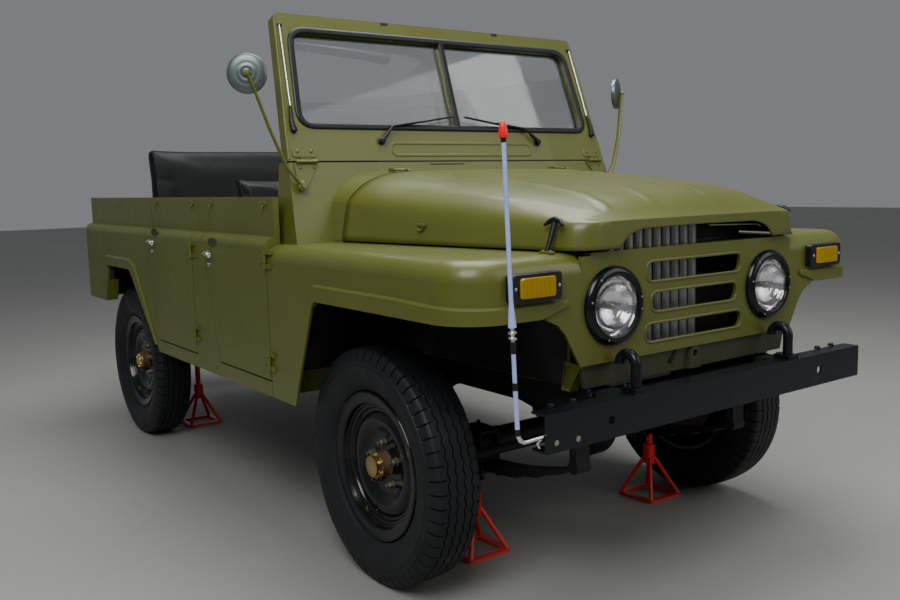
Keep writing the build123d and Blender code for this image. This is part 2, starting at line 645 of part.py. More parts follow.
def side_section(bottom):
    """The wall's cross-section on the left: a thick lower panel, rolled shoulder and thin strip."""
    with BuildSketch(front_plane(REAR_BODY_X)) as section:
        with BuildLine():
            Polyline((BODY_HALF, ROLL_CENTRE_Z), (BODY_HALF, bottom), (WALL_INNER, bottom), (WALL_INNER, STRIP_TOP))
            Line((WALL_INNER, STRIP_TOP), (STRIP_HALF, STRIP_TOP))
            Line((STRIP_HALF, STRIP_TOP), (STRIP_HALF, SHOULDER_Z))
            CenterArc((STRIP_HALF, ROLL_CENTRE_Z), SHOULDER_ROLL, 0, 90)
        make_face()
    return section.sketch


def slant_x(top_x, z):
    """The slanted rear shut line of a door, from its place at the shoulder."""
    return top_x + DOOR_SLANT * max(0.0, ROLL_CENTRE_Z - z)


def door_outline(front_x, rear_x, grow):
    """An outline in the car's X and Z for a door, or for its opening when grown by the running gap."""
    low = DOOR_BOTTOM - grow
    high = STRIP_TOP + 1
    return [
        (front_x + grow, low),
        (front_x + grow, high),
        (rear_x - grow, high),
        (rear_x - grow, ROLL_CENTRE_Z),
        (slant_x(rear_x, low) - grow, low),
    ]


# columns: x, z of the rear wheel arch's outline, from the sill behind the doors
REAR_ARCH = [
    (-493.0, SILL_BOTTOM - 1),
    (-493.0, 523.0),
    (-581.0, 617.0),
    (-836.0, REAR_ARCH_TOP),
    (-1203.0, REAR_ARCH_TOP),
    (-1280.0, REAR_BODY_BOTTOM),
    (REAR_BODY_X - 1, REAR_BODY_BOTTOM),
    (REAR_BODY_X - 1, SILL_BOTTOM - 1),
]
# columns: x, z of the pressed lip's crease on the wall, then of its edge where it stands proud
REAR_LIP = [
    (-1225.0, 860.0, -1216.0, 860.0),
    (-1222.0, 919.0, -1213.0, 910.0),
    (-850.0, 919.0, -853.0, 910.0),
    (-760.0, 890.0, -767.0, 883.0),
    (-548.0, 600.0, -557.0, 596.0),
    (-500.0, 545.0, -508.0, 545.0),
]
LIP_RISE = 9.0
REAR_CORNER_Y = 640.0
REAR_WALL = 40.0
DOOR_PIN_Y = BODY_HALF + HINGE_BARREL
HINGE_LEAF_Y = (BODY_HALF - 4, BODY_HALF + HINGE_BARREL)
FRONT_PIN_X = DOOR_FRONT_X + GAP - 1
REAR_PIN_X = REAR_DOOR_FRONT_X + GAP - 1
FRONT_HINGE_Z = (997.0, 642.0)
REAR_HINGE_Z = (1000.0, 659.0)
GATE_SILL_Z = REAR_FLOOR_Z + FLOOR_SHEET - 20
GATE_PIN_X = REAR_BODY_X - HINGE_BARREL
GATE_PIN_Y = -REAR_CORNER_Y + GAP / 2
GATE_LEAF_X = (GATE_PIN_X, REAR_BODY_X + 4)
GATE_HINGE_Z = (840.0, 1010.0)
WALL_PLANE = side_plane(BODY_HALF + LIP_RISE + 5)
WALL_REACH = BODY_HALF + LIP_RISE + 5 - WALL_INNER + 5
wall_section = side_section(SILL_BOTTOM)
with BuildPart() as rear_lip:
    for y, first in ((BODY_HALF, 0), (BODY_HALF + LIP_RISE, 2)):
        with BuildSketch(side_plane(y)):
            with BuildLine():
                Polyline(*[(row[first], row[first + 1]) for row in REAR_LIP], close=True)
            make_face()
    loft(ruled=True)
with BuildPart() as side_walls:
    extrude(wall_section, amount=DOOR_FRONT_X + 4 - REAR_BODY_X)
    add(rear_lip.part)
    for front_x, rear_x in ((DOOR_FRONT_X - GAP + 20, FRONT_DOOR_REAR_X), (REAR_DOOR_FRONT_X, REAR_DOOR_REAR_X)):
        prism(WALL_PLANE, door_outline(front_x, rear_x, GAP), WALL_REACH, mode=Mode.SUBTRACT)
    prism(WALL_PLANE, REAR_ARCH, WALL_REACH, mode=Mode.SUBTRACT)
    # Rear corner panel and tail sill beside the gate
    block((REAR_BODY_X, REAR_BODY_X + REAR_WALL), (REAR_CORNER_Y, WALL_INNER + 5), (REAR_BODY_BOTTOM, SHOULDER_Z))
    for z in REAR_HINGE_Z:
        hinge_ears(REAR_PIN_X, DOOR_PIN_Y, z, (REAR_PIN_X, REAR_PIN_X + 42), HINGE_LEAF_Y)
    mirror(about=Plane.XZ)
    block(
        (REAR_BODY_X, REAR_BODY_X + REAR_WALL),
        (-REAR_CORNER_Y - 1, REAR_CORNER_Y + 1),
        (REAR_BODY_BOTTOM, GATE_SILL_Z),
    )
    for z in GATE_HINGE_Z:
        hinge_ears(GATE_PIN_X, GATE_PIN_Y, z, GATE_LEAF_X, (GATE_PIN_Y - 42, GATE_PIN_Y))
store(side_walls, "side_walls")

# columns: name, front edge, rear edge, hinge pin x, hinge heights
DOORS = [
    ("front", DOOR_FRONT_X, FRONT_DOOR_REAR_X, FRONT_PIN_X, FRONT_HINGE_Z),
    ("rear", REAR_DOOR_FRONT_X, REAR_DOOR_REAR_X, REAR_PIN_X, REAR_HINGE_Z),
]
door_section = side_section(DOOR_BOTTOM)
for place, front_x, rear_x, pin_x, hinge_heights in DOORS:
    # The rear edge is drawn in toward the cab, so that it swings clear of its post
    with BuildPart() as envelope:
        for y, draw in ((BODY_HALF, 0.0), (WALL_INNER - 1, DOOR_DRAW)):
            with BuildSketch(side_plane(y)):
                with BuildLine():
                    Polyline(*door_outline(front_x, rear_x + draw, 0), close=True)
                make_face()
        loft(ruled=True)
    with BuildPart() as left_door:
        extrude(door_section, amount=DOOR_FRONT_X + 4 - REAR_BODY_X)
        add(envelope.part, mode=Mode.INTERSECT)
        for z in hinge_heights:
            hinge_barrel(pin_x, DOOR_PIN_Y, z, (pin_x - 42, pin_x), HINGE_LEAF_Y)
    with BuildPart() as right_door:
        add(left_door.part)
        mirror(about=Plane.XZ, mode=Mode.REPLACE)
    store(left_door, f"door_{place}_left")
    store(right_door, f"door_{place}_right")

# Fenders, thin shells with an inner apron
# columns: x, z of the front wheel arch's outline seen from the side
FRONT_ARCH = [
    (871.0, SILL_BOTTOM - 1),
    (898.0, 587.0),
    (1012.0, FRONT_ARCH_TOP - 24),
    (1052.0, FRONT_ARCH_TOP),
    (PANEL_X + 40, FRONT_ARCH_TOP),
    (PANEL_X + 40, SILL_BOTTOM - 1),
]
# columns: y, z of the opening's edge on the fender's front face
FRONT_FACE_EDGE = [
    (BODY_HALF + 20, FRONT_ARCH_TOP),
    (600.0, FRONT_ARCH_TOP - 6),
    (560.0, FRONT_ARCH_TOP - 24),
    (533.0, 831.0),
    (PANEL_HALF, 728.0),
    (PANEL_HALF - 60, 700.0),
    (PANEL_HALF - 60, SILL_BOTTOM - 1),
    (BODY_HALF + 20, SILL_BOTTOM - 1),
]


def fender_form(inset):
    """The left fender's filled outer form, drawn in by the sheet's thickness."""
    rear = DOOR_FRONT_X + GAP + inset
    with BuildPart() as form:
        with BuildSketch(Plane.XY.offset(SILL_BOTTOM - inset)):
            with BuildLine():
                Polyline(
                    (rear, APRON_Y + inset),
                    (rear, BODY_HALF - inset),
                    (PANEL_X - inset, BODY_HALF - inset),
                    (PANEL_X - inset, APRON_Y + inset),
                    close=True,
                )
            make_face()
        extrude(amount=FENDER_TOP - SILL_BOTTOM)
        corner = form.edges().filter_by(Axis.Z).sort_by(Axis.X)[-2:].sort_by(Axis.Y)[-1]
        fillet(corner, FENDER_CORNER - inset)
        rim_edges = form.faces().sort_by(Axis.Z)[-1].edges().filter_by(lambda e: e.center().Y > APRON_Y + 60)
        outer_edges = [e for e in rim_edges if e.center().X > rear + 40]
        fillet(outer_edges, FENDER_ROLL - inset)
    return form.part


# columns: x, z of the pressed lip over the front arch seen from the side, its crease first
FRONT_LIP = [
    (1003.0, 901.0),
    (1040.0, 936.0),
    (1500.0, 936.0),
    (PANEL_X + 30, 926.0),
    (PANEL_X + 30, FRONT_ARCH_TOP - 12),
    (1030.0, FRONT_ARCH_TOP - 12),
]
# columns: y, z of the lip seen from the front, running out to a point beside the panel
FRONT_LIP_END = [(900.0, 860.0), (640.0, 876.0), (526.0, 912.0), (526.0, 960.0), (900.0, 960.0)]
LIP_CHAMFER = 7.0
LIP_FACE = BODY_HALF + LIP_RISE
LIP_CORNER = FENDER_CORNER + LIP_RISE


def on_lip_crease(edge):
    """Whether an edge is the upper outer one of the lip, round the fender's corner."""
    spot = edge.position_at(0.5)
    reach = hypot(max(0.0, spot.X - (PANEL_X + LIP_RISE - LIP_CORNER)), max(0.0, spot.Y - (LIP_FACE - LIP_CORNER)))
    level = abs(edge.tangent_at(0.5).Z) < 0.9
    return reach > LIP_CORNER - 0.5 and spot.Z > FRONT_ARCH_TOP + 23 and spot.Y > FRONT_LIP_END[2][0] + 5 and level


with BuildPart() as front_lip:
    add(fender_form(-LIP_RISE))
    prism(side_plane(LIP_FACE + 5), FRONT_LIP, LIP_FACE + 5 - FRONT_LIP_END[2][0], mode=Mode.INTERSECT)
    prism(front_plane(PANEL_X - 900), FRONT_LIP_END, 950, mode=Mode.INTERSECT)
    chamfer(front_lip.edges().filter_by(on_lip_crease), LIP_CHAMFER)
with BuildPart() as fenders:
    add(fender_form(0))
    add(front_lip.part)
    add(fender_form(FENDER_SKIN), mode=Mode.SUBTRACT)
    prism(side_plane(LIP_FACE + 5), FRONT_ARCH, LIP_FACE + 5 - 600, mode=Mode.SUBTRACT)
    prism(front_plane(PANEL_X - 200), FRONT_FACE_EDGE, 240, mode=Mode.SUBTRACT)
    # The apron stops above the axle, and the front opens for the panel
    block((DOOR_FRONT_X + 60, PANEL_X + 10), (APRON_Y - 5, 600), (SILL_BOTTOM - 10, APRON_BOTTOM), mode=Mode.SUBTRACT)
    block(
        (PANEL_X - PANEL_SKIN - SEAT, PANEL_X + 10),
        (APRON_Y - 5, PANEL_HALF + SEAT),
        (SILL_BOTTOM - 10, FENDER_TOP + 10),
        mode=Mode.SUBTRACT,
    )
    block(
        (PANEL_X - 75, PANEL_X),
        (APRON_Y - 5, PANEL_HALF),
        (SILL_BOTTOM - 10, FENDER_TOP - FENDER_SKIN),
        mode=Mode.SUBTRACT,
    )
    for z in FRONT_HINGE_Z:
        hinge_ears(FRONT_PIN_X, DOOR_PIN_Y, z, (FRONT_PIN_X, FRONT_PIN_X + 42), HINGE_LEAF_Y)
    mirror(about=Plane.XZ)
store(fenders, "fenders")

# Front panel with three slots and two lamp openings
LAMP_Y = 353.0
LAMP_Z = 892.0
LAMP_RIM_RADIUS = 112.0
LAMP_HOLE_RADIUS = 98.0
LAMP_LENS_RADIUS = 84.0
# columns: z centre, width, height, corner radius
SLOTS = [
    (975.0, 424.0, 54.0, 22.0),
    (886.0, 388.0, 54.0, 26.0),
    (797.0, 438.0, 50.0, 24.0),
]
PANEL_LIP = 40.0
with BuildPart() as front_panel:
    with BuildSketch(front_plane(PANEL_X - PANEL_SKIN)):
        with BuildLine():
            Polyline(
                (-PANEL_HALF, PANEL_BOTTOM),
                (-PANEL_HALF, PANEL_TOP),
                (PANEL_HALF, PANEL_TOP),
                (PANEL_HALF, PANEL_BOTTOM),
                close=True,
            )
        make_face()
        for z, width, height, corner in SLOTS:
            with Locations((0, z)):
                RectangleRounded(width, height, corner, mode=Mode.SUBTRACT)
        with Locations((-LAMP_Y, LAMP_Z), (LAMP_Y, LAMP_Z)):
            Circle(LAMP_HOLE_RADIUS, mode=Mode.SUBTRACT)
    extrude(amount=PANEL_SKIN)
    # Turned top edge that carries the hood's front
    block((PANEL_X - PANEL_LIP, PANEL_X), (-APRON_Y + 1, APRON_Y - 1), (PANEL_TOP, PANEL_TOP + 8))
store(front_panel, "front_panel")

# Dark valance between the panel and the bumper
VALANCE_BACK_X = PANEL_X - 2 * PANEL_SKIN - SEAT
VALANCE_TOP = PANEL_BOTTOM + 12
with BuildPart() as valance:
    prism(
        front_plane(VALANCE_BACK_X),
        [(-450, 668), (-PANEL_HALF + 4, VALANCE_TOP), (PANEL_HALF - 4, VALANCE_TOP), (450, 668)],
        PANEL_SKIN,
    )
    # Starting-handle guide
    with BuildSketch(front_plane(PANEL_X - 18.5)) as guide:
        with BuildLine():
            Polyline((-26, 668), (-22, CRANK_GUIDE_Z), (22, CRANK_GUIDE_Z), (26, 668), close=True)
        make_face()
        with Locations((0, CRANK_GUIDE_Z)):
            Circle(22)
            Circle(CRANK_BORE / 2 + 3, mode=Mode.SUBTRACT)
    extrude(guide.sketch, amount=20)
    bar((PANEL_X - 40, 0, CRANK_GUIDE_Z), (PANEL_X + 10, 0, CRANK_GUIDE_Z), CRANK_BORE / 2 + 3, mode=Mode.SUBTRACT)
store(valance, "valance")

# Radiator with the upright shutter slats ahead of it
RADIATOR = ((1672.0, 1722.0), (-330.0, 330.0), (662.0, 1120.0))
SHUTTER_X = 1748.0
SLAT_PITCH = 40.0
SLAT_COUNT = 10
SLAT_WIDTH = 33.0
SHUTTER_Z = (690.0, 1112.0)
SHUTTER_START_Y = -318.0
with BuildPart() as radiator:
    block(*RADIATOR)
    block(
        (RADIATOR[0][0] + 10, RADIATOR[0][1] + 20),
        (-RAIL_OUTER + 5, RAIL_OUTER - 5),
        (RAIL_FRONT_TOP + SEAT, RADIATOR[2][0] + 1),
    )
store(radiator, "radiator")

with BuildPart() as shutters:
    for index in range(SLAT_COUNT):
        y = SHUTTER_START_Y + SLAT_PITCH * (index + 0.5)
        with BuildSketch(Plane.XY.offset(SHUTTER_Z[0])) as slat:
            with BuildLine():
                Line((SHUTTER_X, y - SLAT_WIDTH / 2), (SHUTTER_X, y + SLAT_WIDTH / 2))
                ThreePointArc(
                    (SHUTTER_X, y + SLAT_WIDTH / 2), (SHUTTER_X + 11, y), (SHUTTER_X, y - SLAT_WIDTH / 2)
                )
            make_face()
        extrude(slat.sketch, amount=SHUTTER_Z[1] - SHUTTER_Z[0])
    width_end = SHUTTER_START_Y + SLAT_PITCH * SLAT_COUNT
    for z in (SHUTTER_Z[0], SHUTTER_Z[1] - 12):
        block((RADIATOR[0][1] + SEAT, SHUTTER_X + 2), (SHUTTER_START_Y, width_end), (z, z + 12))
store(shutters, "shutters")

# Headlamps, turn lamps and tail lamps
LENS_EDGE_X = 14.0
LENS_DOME = 16.0
LENS_BALL = (LAMP_LENS_RADIUS**2 + LENS_DOME**2) / (2 * LENS_DOME)
lens_swing = atan2(LAMP_LENS_RADIUS, LENS_BALL - LENS_DOME) / 2
lens_middle = (LENS_EDGE_X + LENS_DOME - LENS_BALL * (1 - cos(lens_swing)), LENS_BALL * sin(lens_swing))
with BuildPart() as headlamps:
    for side in (-1, 1):
        axis_plane = Plane(origin=(PANEL_X, side * LAMP_Y, LAMP_Z), x_dir=(1, 0, 0), z_dir=(0, -1, 0))
        with BuildSketch(axis_plane) as lamp:
            with BuildLine():
                Polyline(
                    (LENS_EDGE_X + LENS_DOME, 0),
                    (-48, 0),
                    (-42, 60),
                    (-18, LAMP_HOLE_RADIUS - 10),
                    (SEAT, LAMP_HOLE_RADIUS - 2),
                    (SEAT, LAMP_RIM_RADIUS),
                    (14, LAMP_RIM_RADIUS - 4),
                    (22, LAMP_LENS_RADIUS + 4),
                    (LENS_EDGE_X, LAMP_LENS_RADIUS),
                )
                ThreePointArc((LENS_EDGE_X, LAMP_LENS_RADIUS), lens_middle, (LENS_EDGE_X + LENS_DOME, 0))
            make_face()
        revolve(lamp.sketch, axis=Axis((PANEL_X, side * LAMP_Y, LAMP_Z), (1, 0, 0)))
store(headlamps, "headlamps")

TURN_LAMP = ((PANEL_X + SEAT, PANEL_X + 32.0), (561.0, 736.0), (932.0, 1008.0))
TAIL_LAMP_Y = 755.0
TAIL_LAMP_Z = 800.0
TAIL_LAMP_DEPTH = 34.0
with BuildPart() as signal_lamps:
    for side in (-1, 1):
        near, far = sorted((side * TURN_LAMP[1][0], side * TURN_LAMP[1][1]))
        block(TURN_LAMP[0], (near, far), TURN_LAMP[2])
    fillet(signal_lamps.edges().filter_by(Axis.X), 9)
    for side in (-1, 1):
        for z, radius in ((TAIL_LAMP_Z, 46.0), (TAIL_LAMP_Z + 105, 40.0)):
            foot = (REAR_BODY_X - SEAT, side * TAIL_LAMP_Y, z)
            bar(foot, (foot[0] - TAIL_LAMP_DEPTH, foot[1], foot[2]), radius)
store(signal_lamps, "signal_lamps")

# Form shared by the hood and the cowl's fixed collar behind it
HOOD_SHUT_X = 815.0
# columns: x, half width at the foot, half width and height of the side's top, the same in the
# middle and at the end of the corner's round, height of the crown
HOOD_SECTIONS = [
    (700.0, HOOD_REAR_HALF, 628.0, 1187.0, 583.0, 1234.0, 471.0, 1281.0, 1296.0),
    (1170.0, 588.0, 567.0, 1158.0, 522.0, 1200.0, 410.0, 1245.0, 1267.0),
    (1640.0, 522.0, 508.0, 1126.0, 463.0, 1162.0, 351.0, 1203.0, 1221.0),
    (HOOD_NOSE_X + 4, 493.0, 483.0, 1117.0, 438.0, 1150.0, 327.0, 1188.0, 1202.0),
]
HOOD_CORNER = 85.0
HOOD_CORNER_LEAD = 3.0
HOOD_CREASE_Z = 1128.0
HOOD_NOSE_CURVE = (1745.0, 1187.0)
HOOD_NOSE_START = (1640.0, 1222.0)
HOOD_HIGH_Z = 1330.0


def hood_form(inset, foot):
    """The filled form, drawn in by inset: a tapering section trimmed to its side and plan views."""
    rear_x = HOOD_SECTIONS[0][0]
    nose_x = HOOD_NOSE_X - inset
    with BuildPart() as form:
        for x, foot_half, side_half, side_z, bend_half, bend_z, corner_half, corner_z, crown_z in HOOD_SECTIONS:
            foot_edge = foot_half - inset
            side_edge = side_half - inset
            bend = (bend_half - 0.7 * inset, bend_z - 0.7 * inset)
            corner = (corner_half, corner_z - inset)
            with BuildSketch(front_plane(x)):
                with BuildLine():
                    Line((-foot_edge, foot), (foot_edge, foot))
                    Line((foot_edge, foot), (side_edge, side_z))
                    ThreePointArc((side_edge, side_z), bend, corner)
                    ThreePointArc(corner, (0, crown_z - inset), (-corner[0], corner[1]))
                    ThreePointArc((-corner[0], corner[1]), (-bend[0], bend[1]), (-side_edge, side_z))
                    Line((-side_edge, side_z), (-foot_edge, foot))
                make_face()
        loft(ruled=True)
        with BuildSketch(side_plane(700)) as profile:
            with BuildLine():
                Polyline(
                    (HOOD_NOSE_START[0], HOOD_NOSE_START[1] - inset),
                    (rear_x - 5, HOOD_HIGH_Z),
                    (rear_x - 5, foot - 5),
                    (nose_x, foot - 5),
                    (nose_x, HOOD_CREASE_Z - inset),
                )
                ThreePointArc(
                    (nose_x, HOOD_CREASE_Z - inset),
                    (HOOD_NOSE_CURVE[0] - inset / 2, HOOD_NOSE_CURVE[1] - inset),
                    (HOOD_NOSE_START[0], HOOD_NOSE_START[1] - inset),
                )
            make_face()
        extrude(profile.sketch, amount=1400, mode=Mode.INTERSECT)
        rear_half = HOOD_REAR_HALF + 15
        nose_half = HOOD_SECTIONS[-1][1] + 1 - inset
        with BuildSketch(Plane.XY.offset(foot - 5)) as plan:
            with BuildLine():
                Polyline(
                    (rear_x - 5, -rear_half),
                    (nose_x + HOOD_CORNER_LEAD, -nose_half),
                    (nose_x + HOOD_CORNER_LEAD, nose_half),
                    (rear_x - 5, rear_half),
                    close=True,
                )
            make_face()
            fillet(plan.vertices().sort_by(Axis.X)[-2:], HOOD_CORNER - inset)
        extrude(plan.sketch, amount=HOOD_HIGH_Z - foot, mode=Mode.INTERSECT)
    return form.part


# Cowl with its firewall
COWL_FOOT_Z = FENDER_TOP + SEAT
RAKE_TAN = tan(radians(RAKE))


def cowl_face_x(z):
    """Where the cowl's raked front face stands at a height."""
    return COWL_FRONT_X + (COWL_TOP - z) * RAKE_TAN


def cowl_form(inset, rear_x, foot_z):
    """The cowl's filled form between its foot and its top."""
    skin_run = inset / cos(radians(RAKE))
    with BuildPart() as form:
        for z, half in ((foot_z, COWL_BOTTOM_HALF), (COWL_TOP - inset, COWL_TOP_HALF)):
            front = cowl_face_x(z) - skin_run
            with BuildSketch(Plane.XY.offset(z)):
                with BuildLine():
                    Polyline(
                        (rear_x, -half + inset),
                        (front, -half + inset),
                        (front, half - inset),
                        (rear_x, half - inset),
                        close=True,
                    )
                make_face()
        loft(ruled=True)
    return form.part


SCREEN_PIN = (COWL_FRONT_X + 9.0, COWL_TOP + SCREEN_GAP / 2)
SCREEN_HINGE_Y = (660.0, 740.0)
# columns: y, height from the cowl's top, for the triangular hinge plate
HINGE_PLATE = [(652.0, -6.0), (748.0, -6.0), (742.0, -98.0), (718.0, -98.0)]
HOOD_PIN = (HOOD_SHUT_X - 3.0, 1291.0)
HOOD_HINGE_Y = (366.0, 406.0)
cowl_outer = cowl_form(0, COWL_REAR_X, COWL_FOOT_Z)
cowl_inner = cowl_form(COWL_SKIN, COWL_REAR_X - 10, COWL_FOOT_Z - 1)
with BuildPart() as collar:
    add(hood_form(0, COWL_FOOT_Z))
    add(hood_form(HOOD_SKIN, COWL_FOOT_Z - 1), mode=Mode.SUBTRACT)
    prism(
        side_plane(800),
        [
            (cowl_face_x(COWL_FOOT_Z - 5) - 4, COWL_FOOT_Z - 5),
            (HOOD_SHUT_X - GAP / 2, COWL_FOOT_Z - 5),
            (HOOD_SHUT_X - GAP / 2, HOOD_HIGH_Z),
            (cowl_face_x(HOOD_HIGH_Z) - 4, HOOD_HIGH_Z),
        ],
        1600,
        mode=Mode.INTERSECT,
    )
with BuildPart() as cowl:
    add(cowl_outer)
    add(cowl_inner, mode=Mode.SUBTRACT)
    add(collar.part)
    ledge_half = COWL_BOTTOM_HALF - COWL_SKIN
    block((FIREWALL_X, cowl_face_x(COWL_FOOT_Z) - 6), (-ledge_half, ledge_half), (COWL_FOOT_Z, COWL_FOOT_Z + 8))
    block((FIREWALL_X, FIREWALL_X + 6), (-APRON_Y + SEAT, APRON_Y - SEAT), (FLOOR_Z, COWL_FOOT_Z + 8))
    tunnel_half = TUNNEL_HALF - BOX_SHEET
    block(
        (FIREWALL_X - 5, FIREWALL_X + 10),
        (-tunnel_half, tunnel_half),
        (FLOOR_Z - 5, TUNNEL_TOP - BOX_SHEET),
        mode=Mode.SUBTRACT,
    )
    for side in (-1, 1):
        # Windshield hinge: ears and pin on a triangular plate
        near, far = SCREEN_HINGE_Y
        pin_x, pin_z = SCREEN_PIN
        plate_plane = Plane(
            origin=(COWL_FRONT_X, 0, COWL_TOP), x_dir=(0, side, 0), z_dir=(cos(radians(RAKE)), 0, sin(radians(RAKE)))
        )
        with BuildSketch(plate_plane) as plate:
            with BuildLine():
                Polyline(*[(y, side * z) for y, z in HINGE_PLATE], close=True)
            make_face()
        extrude(plate.sketch, amount=5)
        for y0, y1 in ((near, near + 18), (far - 18, far)):
            bar((pin_x, side * y0, pin_z), (pin_x, side * y1, pin_z), HINGE_BARREL)
            y_low, y_high = sorted((side * y0, side * y1))
            block((COWL_FRONT_X, pin_x), (y_low, y_high), (pin_z - 20, pin_z - 2))
        bar((pin_x, side * near, pin_z), (pin_x, side * far, pin_z), HINGE_PIN)
        # Hood hinge: pin between two ears
        near, far = HOOD_HINGE_Y
        pin_x, pin_z = HOOD_PIN
        bar((pin_x, side * (near - 12), pin_z), (pin_x, side * (far + 12), pin_z), HINGE_PIN)
        for y0, y1 in ((near - 12, near - 1), (far + 1, far + 12)):
            y_low, y_high = sorted((side * y0, side * y1))
            block((pin_x - 34, pin_x), (y_low, y_high), (pin_z - 14, pin_z + 5))
store(cowl, "cowl")

# Windshield frame and its two panes
SCREEN_ORIGIN = (COWL_FRONT_X - SCREEN_GAP * RAKE_TAN, 0, COWL_TOP + SCREEN_GAP)
SCREEN_NORMAL = (cos(radians(RAKE)), 0, sin(radians(RAKE)))
SCREEN_PLANE = Plane(origin=SCREEN_ORIGIN, x_dir=(0, 1, 0), z_dir=SCREEN_NORMAL)
SCREEN_TAPER = (COWL_TOP_HALF - SCREEN_TOP_HALF) / SCREEN_HEIGHT
SCREEN_OPEN_LOW = SCREEN_BOTTOM_RAIL
SCREEN_OPEN_HIGH = SCREEN_HEIGHT - SCREEN_TOP_RAIL
OPEN_CORNER = 40.0


def screen_half(height):
    """Half width of the windshield frame at a height up its plane."""
    return COWL_TOP_HALF - SCREEN_TAPER * height


def pane_outline(grow):
    """Corners of the right pane's opening, drawn in by grow."""
    low = SCREEN_OPEN_LOW + grow
    high = SCREEN_OPEN_HIGH - grow
    inner = SCREEN_DIVIDER / 2 + grow
    return [
        (inner, low),
        (screen_half(low) - SCREEN_PILLAR - grow, low),
        (screen_half(high) - SCREEN_PILLAR - grow, high),
        (inner, high),
    ]


with BuildPart() as windshield_frame:
    with BuildSketch(SCREEN_PLANE) as outline:
        with BuildLine():
            Polyline(
                (-COWL_TOP_HALF, 0),
                (-SCREEN_TOP_HALF, SCREEN_HEIGHT),
                (SCREEN_TOP_HALF, SCREEN_HEIGHT),
                (COWL_TOP_HALF, 0),
                close=True,
            )
        make_face()
        fillet(outline.vertices().group_by(Axis.Y)[-1], 24)
    extrude(amount=-SCREEN_THICK)
    block((600, 700), (-800, 800), (COWL_TOP - 40, COWL_TOP + SCREEN_GAP), mode=Mode.SUBTRACT)
    for side in (-1, 1):
        with BuildSketch(SCREEN_PLANE) as opening:
            with BuildLine():
                Polyline(*[(side * y, z) for y, z in pane_outline(0)], close=True)
            make_face()
            fillet(opening.vertices().sort_by(lambda v: side * v.X)[-2:], OPEN_CORNER)
        extrude(opening.sketch, amount=-SCREEN_THICK, mode=Mode.SUBTRACT)
        near, far = SCREEN_HINGE_Y
        pin_x, pin_z = SCREEN_PIN
        bar((pin_x, side * (near + 19), pin_z), (pin_x, side * (far - 19), pin_z), HINGE_BARREL)
        y_low, y_high = sorted((side * (near + 19), side * (far - 19)))
        block((COWL_FRONT_X - 8, pin_x), (y_low, y_high), (pin_z + 3, pin_z + 18))
        bar((pin_x, side * near, pin_z), (pin_x, side * far, pin_z), HINGE_BORE, mode=Mode.SUBTRACT)
store(windshield_frame, "windshield_frame")

with BuildPart() as windshield_glass:
    for side in (-1, 1):
        with BuildSketch(SCREEN_PLANE.offset(-SCREEN_THICK / 2)) as pane:
            with BuildLine():
                Polyline(*[(side * y, z) for y, z in pane_outline(SEAT)], close=True)
            make_face()
            fillet(pane.vertices().sort_by(lambda v: side * v.X)[-2:], OPEN_CORNER)
        extrude(pane.sketch, amount=GLASS_THICK)
store(windshield_glass, "windshield_glass")

# Hood, a shell with four raised flutes and a cut-out over the radiator
FLUTE_X = (850.0, 1800.0)
FLUTE_HALF = 17.0
FLUTE_RISE = 4.5
FLUTE_BASE_Z = 1135.0
# columns: a flute's distance from the middle at its rear end and at its front end
FLUTES = [(122.0, 145.0), (295.0, 338.0)]
# columns: y, z of the cut-out's corners in the hood's front
HOOD_MOUTH = [(345.0, HOOD_BOTTOM - 5), (338.0, 1066.0), (300.0, 1088.0), (248.0, 1102.0)]
with BuildPart() as flutes:
    with BuildSketch(Plane.XY.offset(FLUTE_BASE_Z)) as strips:
        for rear_y, front_y in FLUTES:
            for side in (-1, 1):
                with BuildLine():
                    Polyline(
                        (FLUTE_X[0], side * (rear_y - FLUTE_HALF)),
                        (FLUTE_X[1], side * (front_y - FLUTE_HALF)),
                        (FLUTE_X[1], side * (front_y + FLUTE_HALF)),
                        (FLUTE_X[0], side * (rear_y + FLUTE_HALF)),
                        close=True,
                    )
                make_face()
        fillet(strips.vertices(), FLUTE_HALF - 1)
    extrude(strips.sketch, amount=HOOD_HIGH_Z - FLUTE_BASE_Z)
    add(hood_form(-FLUTE_RISE, HOOD_BOTTOM), mode=Mode.INTERSECT)
with BuildPart() as hood:
    add(hood_form(0, HOOD_BOTTOM))
    add(flutes.part)
    add(hood_form(HOOD_SKIN, HOOD_BOTTOM - HOOD_SKIN), mode=Mode.SUBTRACT)
    mouth = HOOD_MOUTH + [(-y, z) for y, z in reversed(HOOD_MOUTH)]
    prism(front_plane(HOOD_NOSE_X - 60), mouth, 80, mode=Mode.SUBTRACT)
    block((600, HOOD_SHUT_X + GAP / 2), (-800, 800), (HOOD_BOTTOM - 30, HOOD_HIGH_Z), mode=Mode.SUBTRACT)
    for side in (-1, 1):
        near, far = HOOD_HINGE_Y
        pin_x, pin_z = HOOD_PIN
        bar((pin_x, side * near, pin_z), (pin_x, side * far, pin_z), HINGE_BARREL)
        y_low, y_high = sorted((side * near, side * far))
        block((pin_x, pin_x + 45), (y_low, y_high), (pin_z - 18, pin_z - 2))
        bar((pin_x, side * (near - 5), pin_z), (pin_x, side * (far + 5), pin_z), HINGE_BORE, mode=Mode.SUBTRACT)
store(hood, "hood")

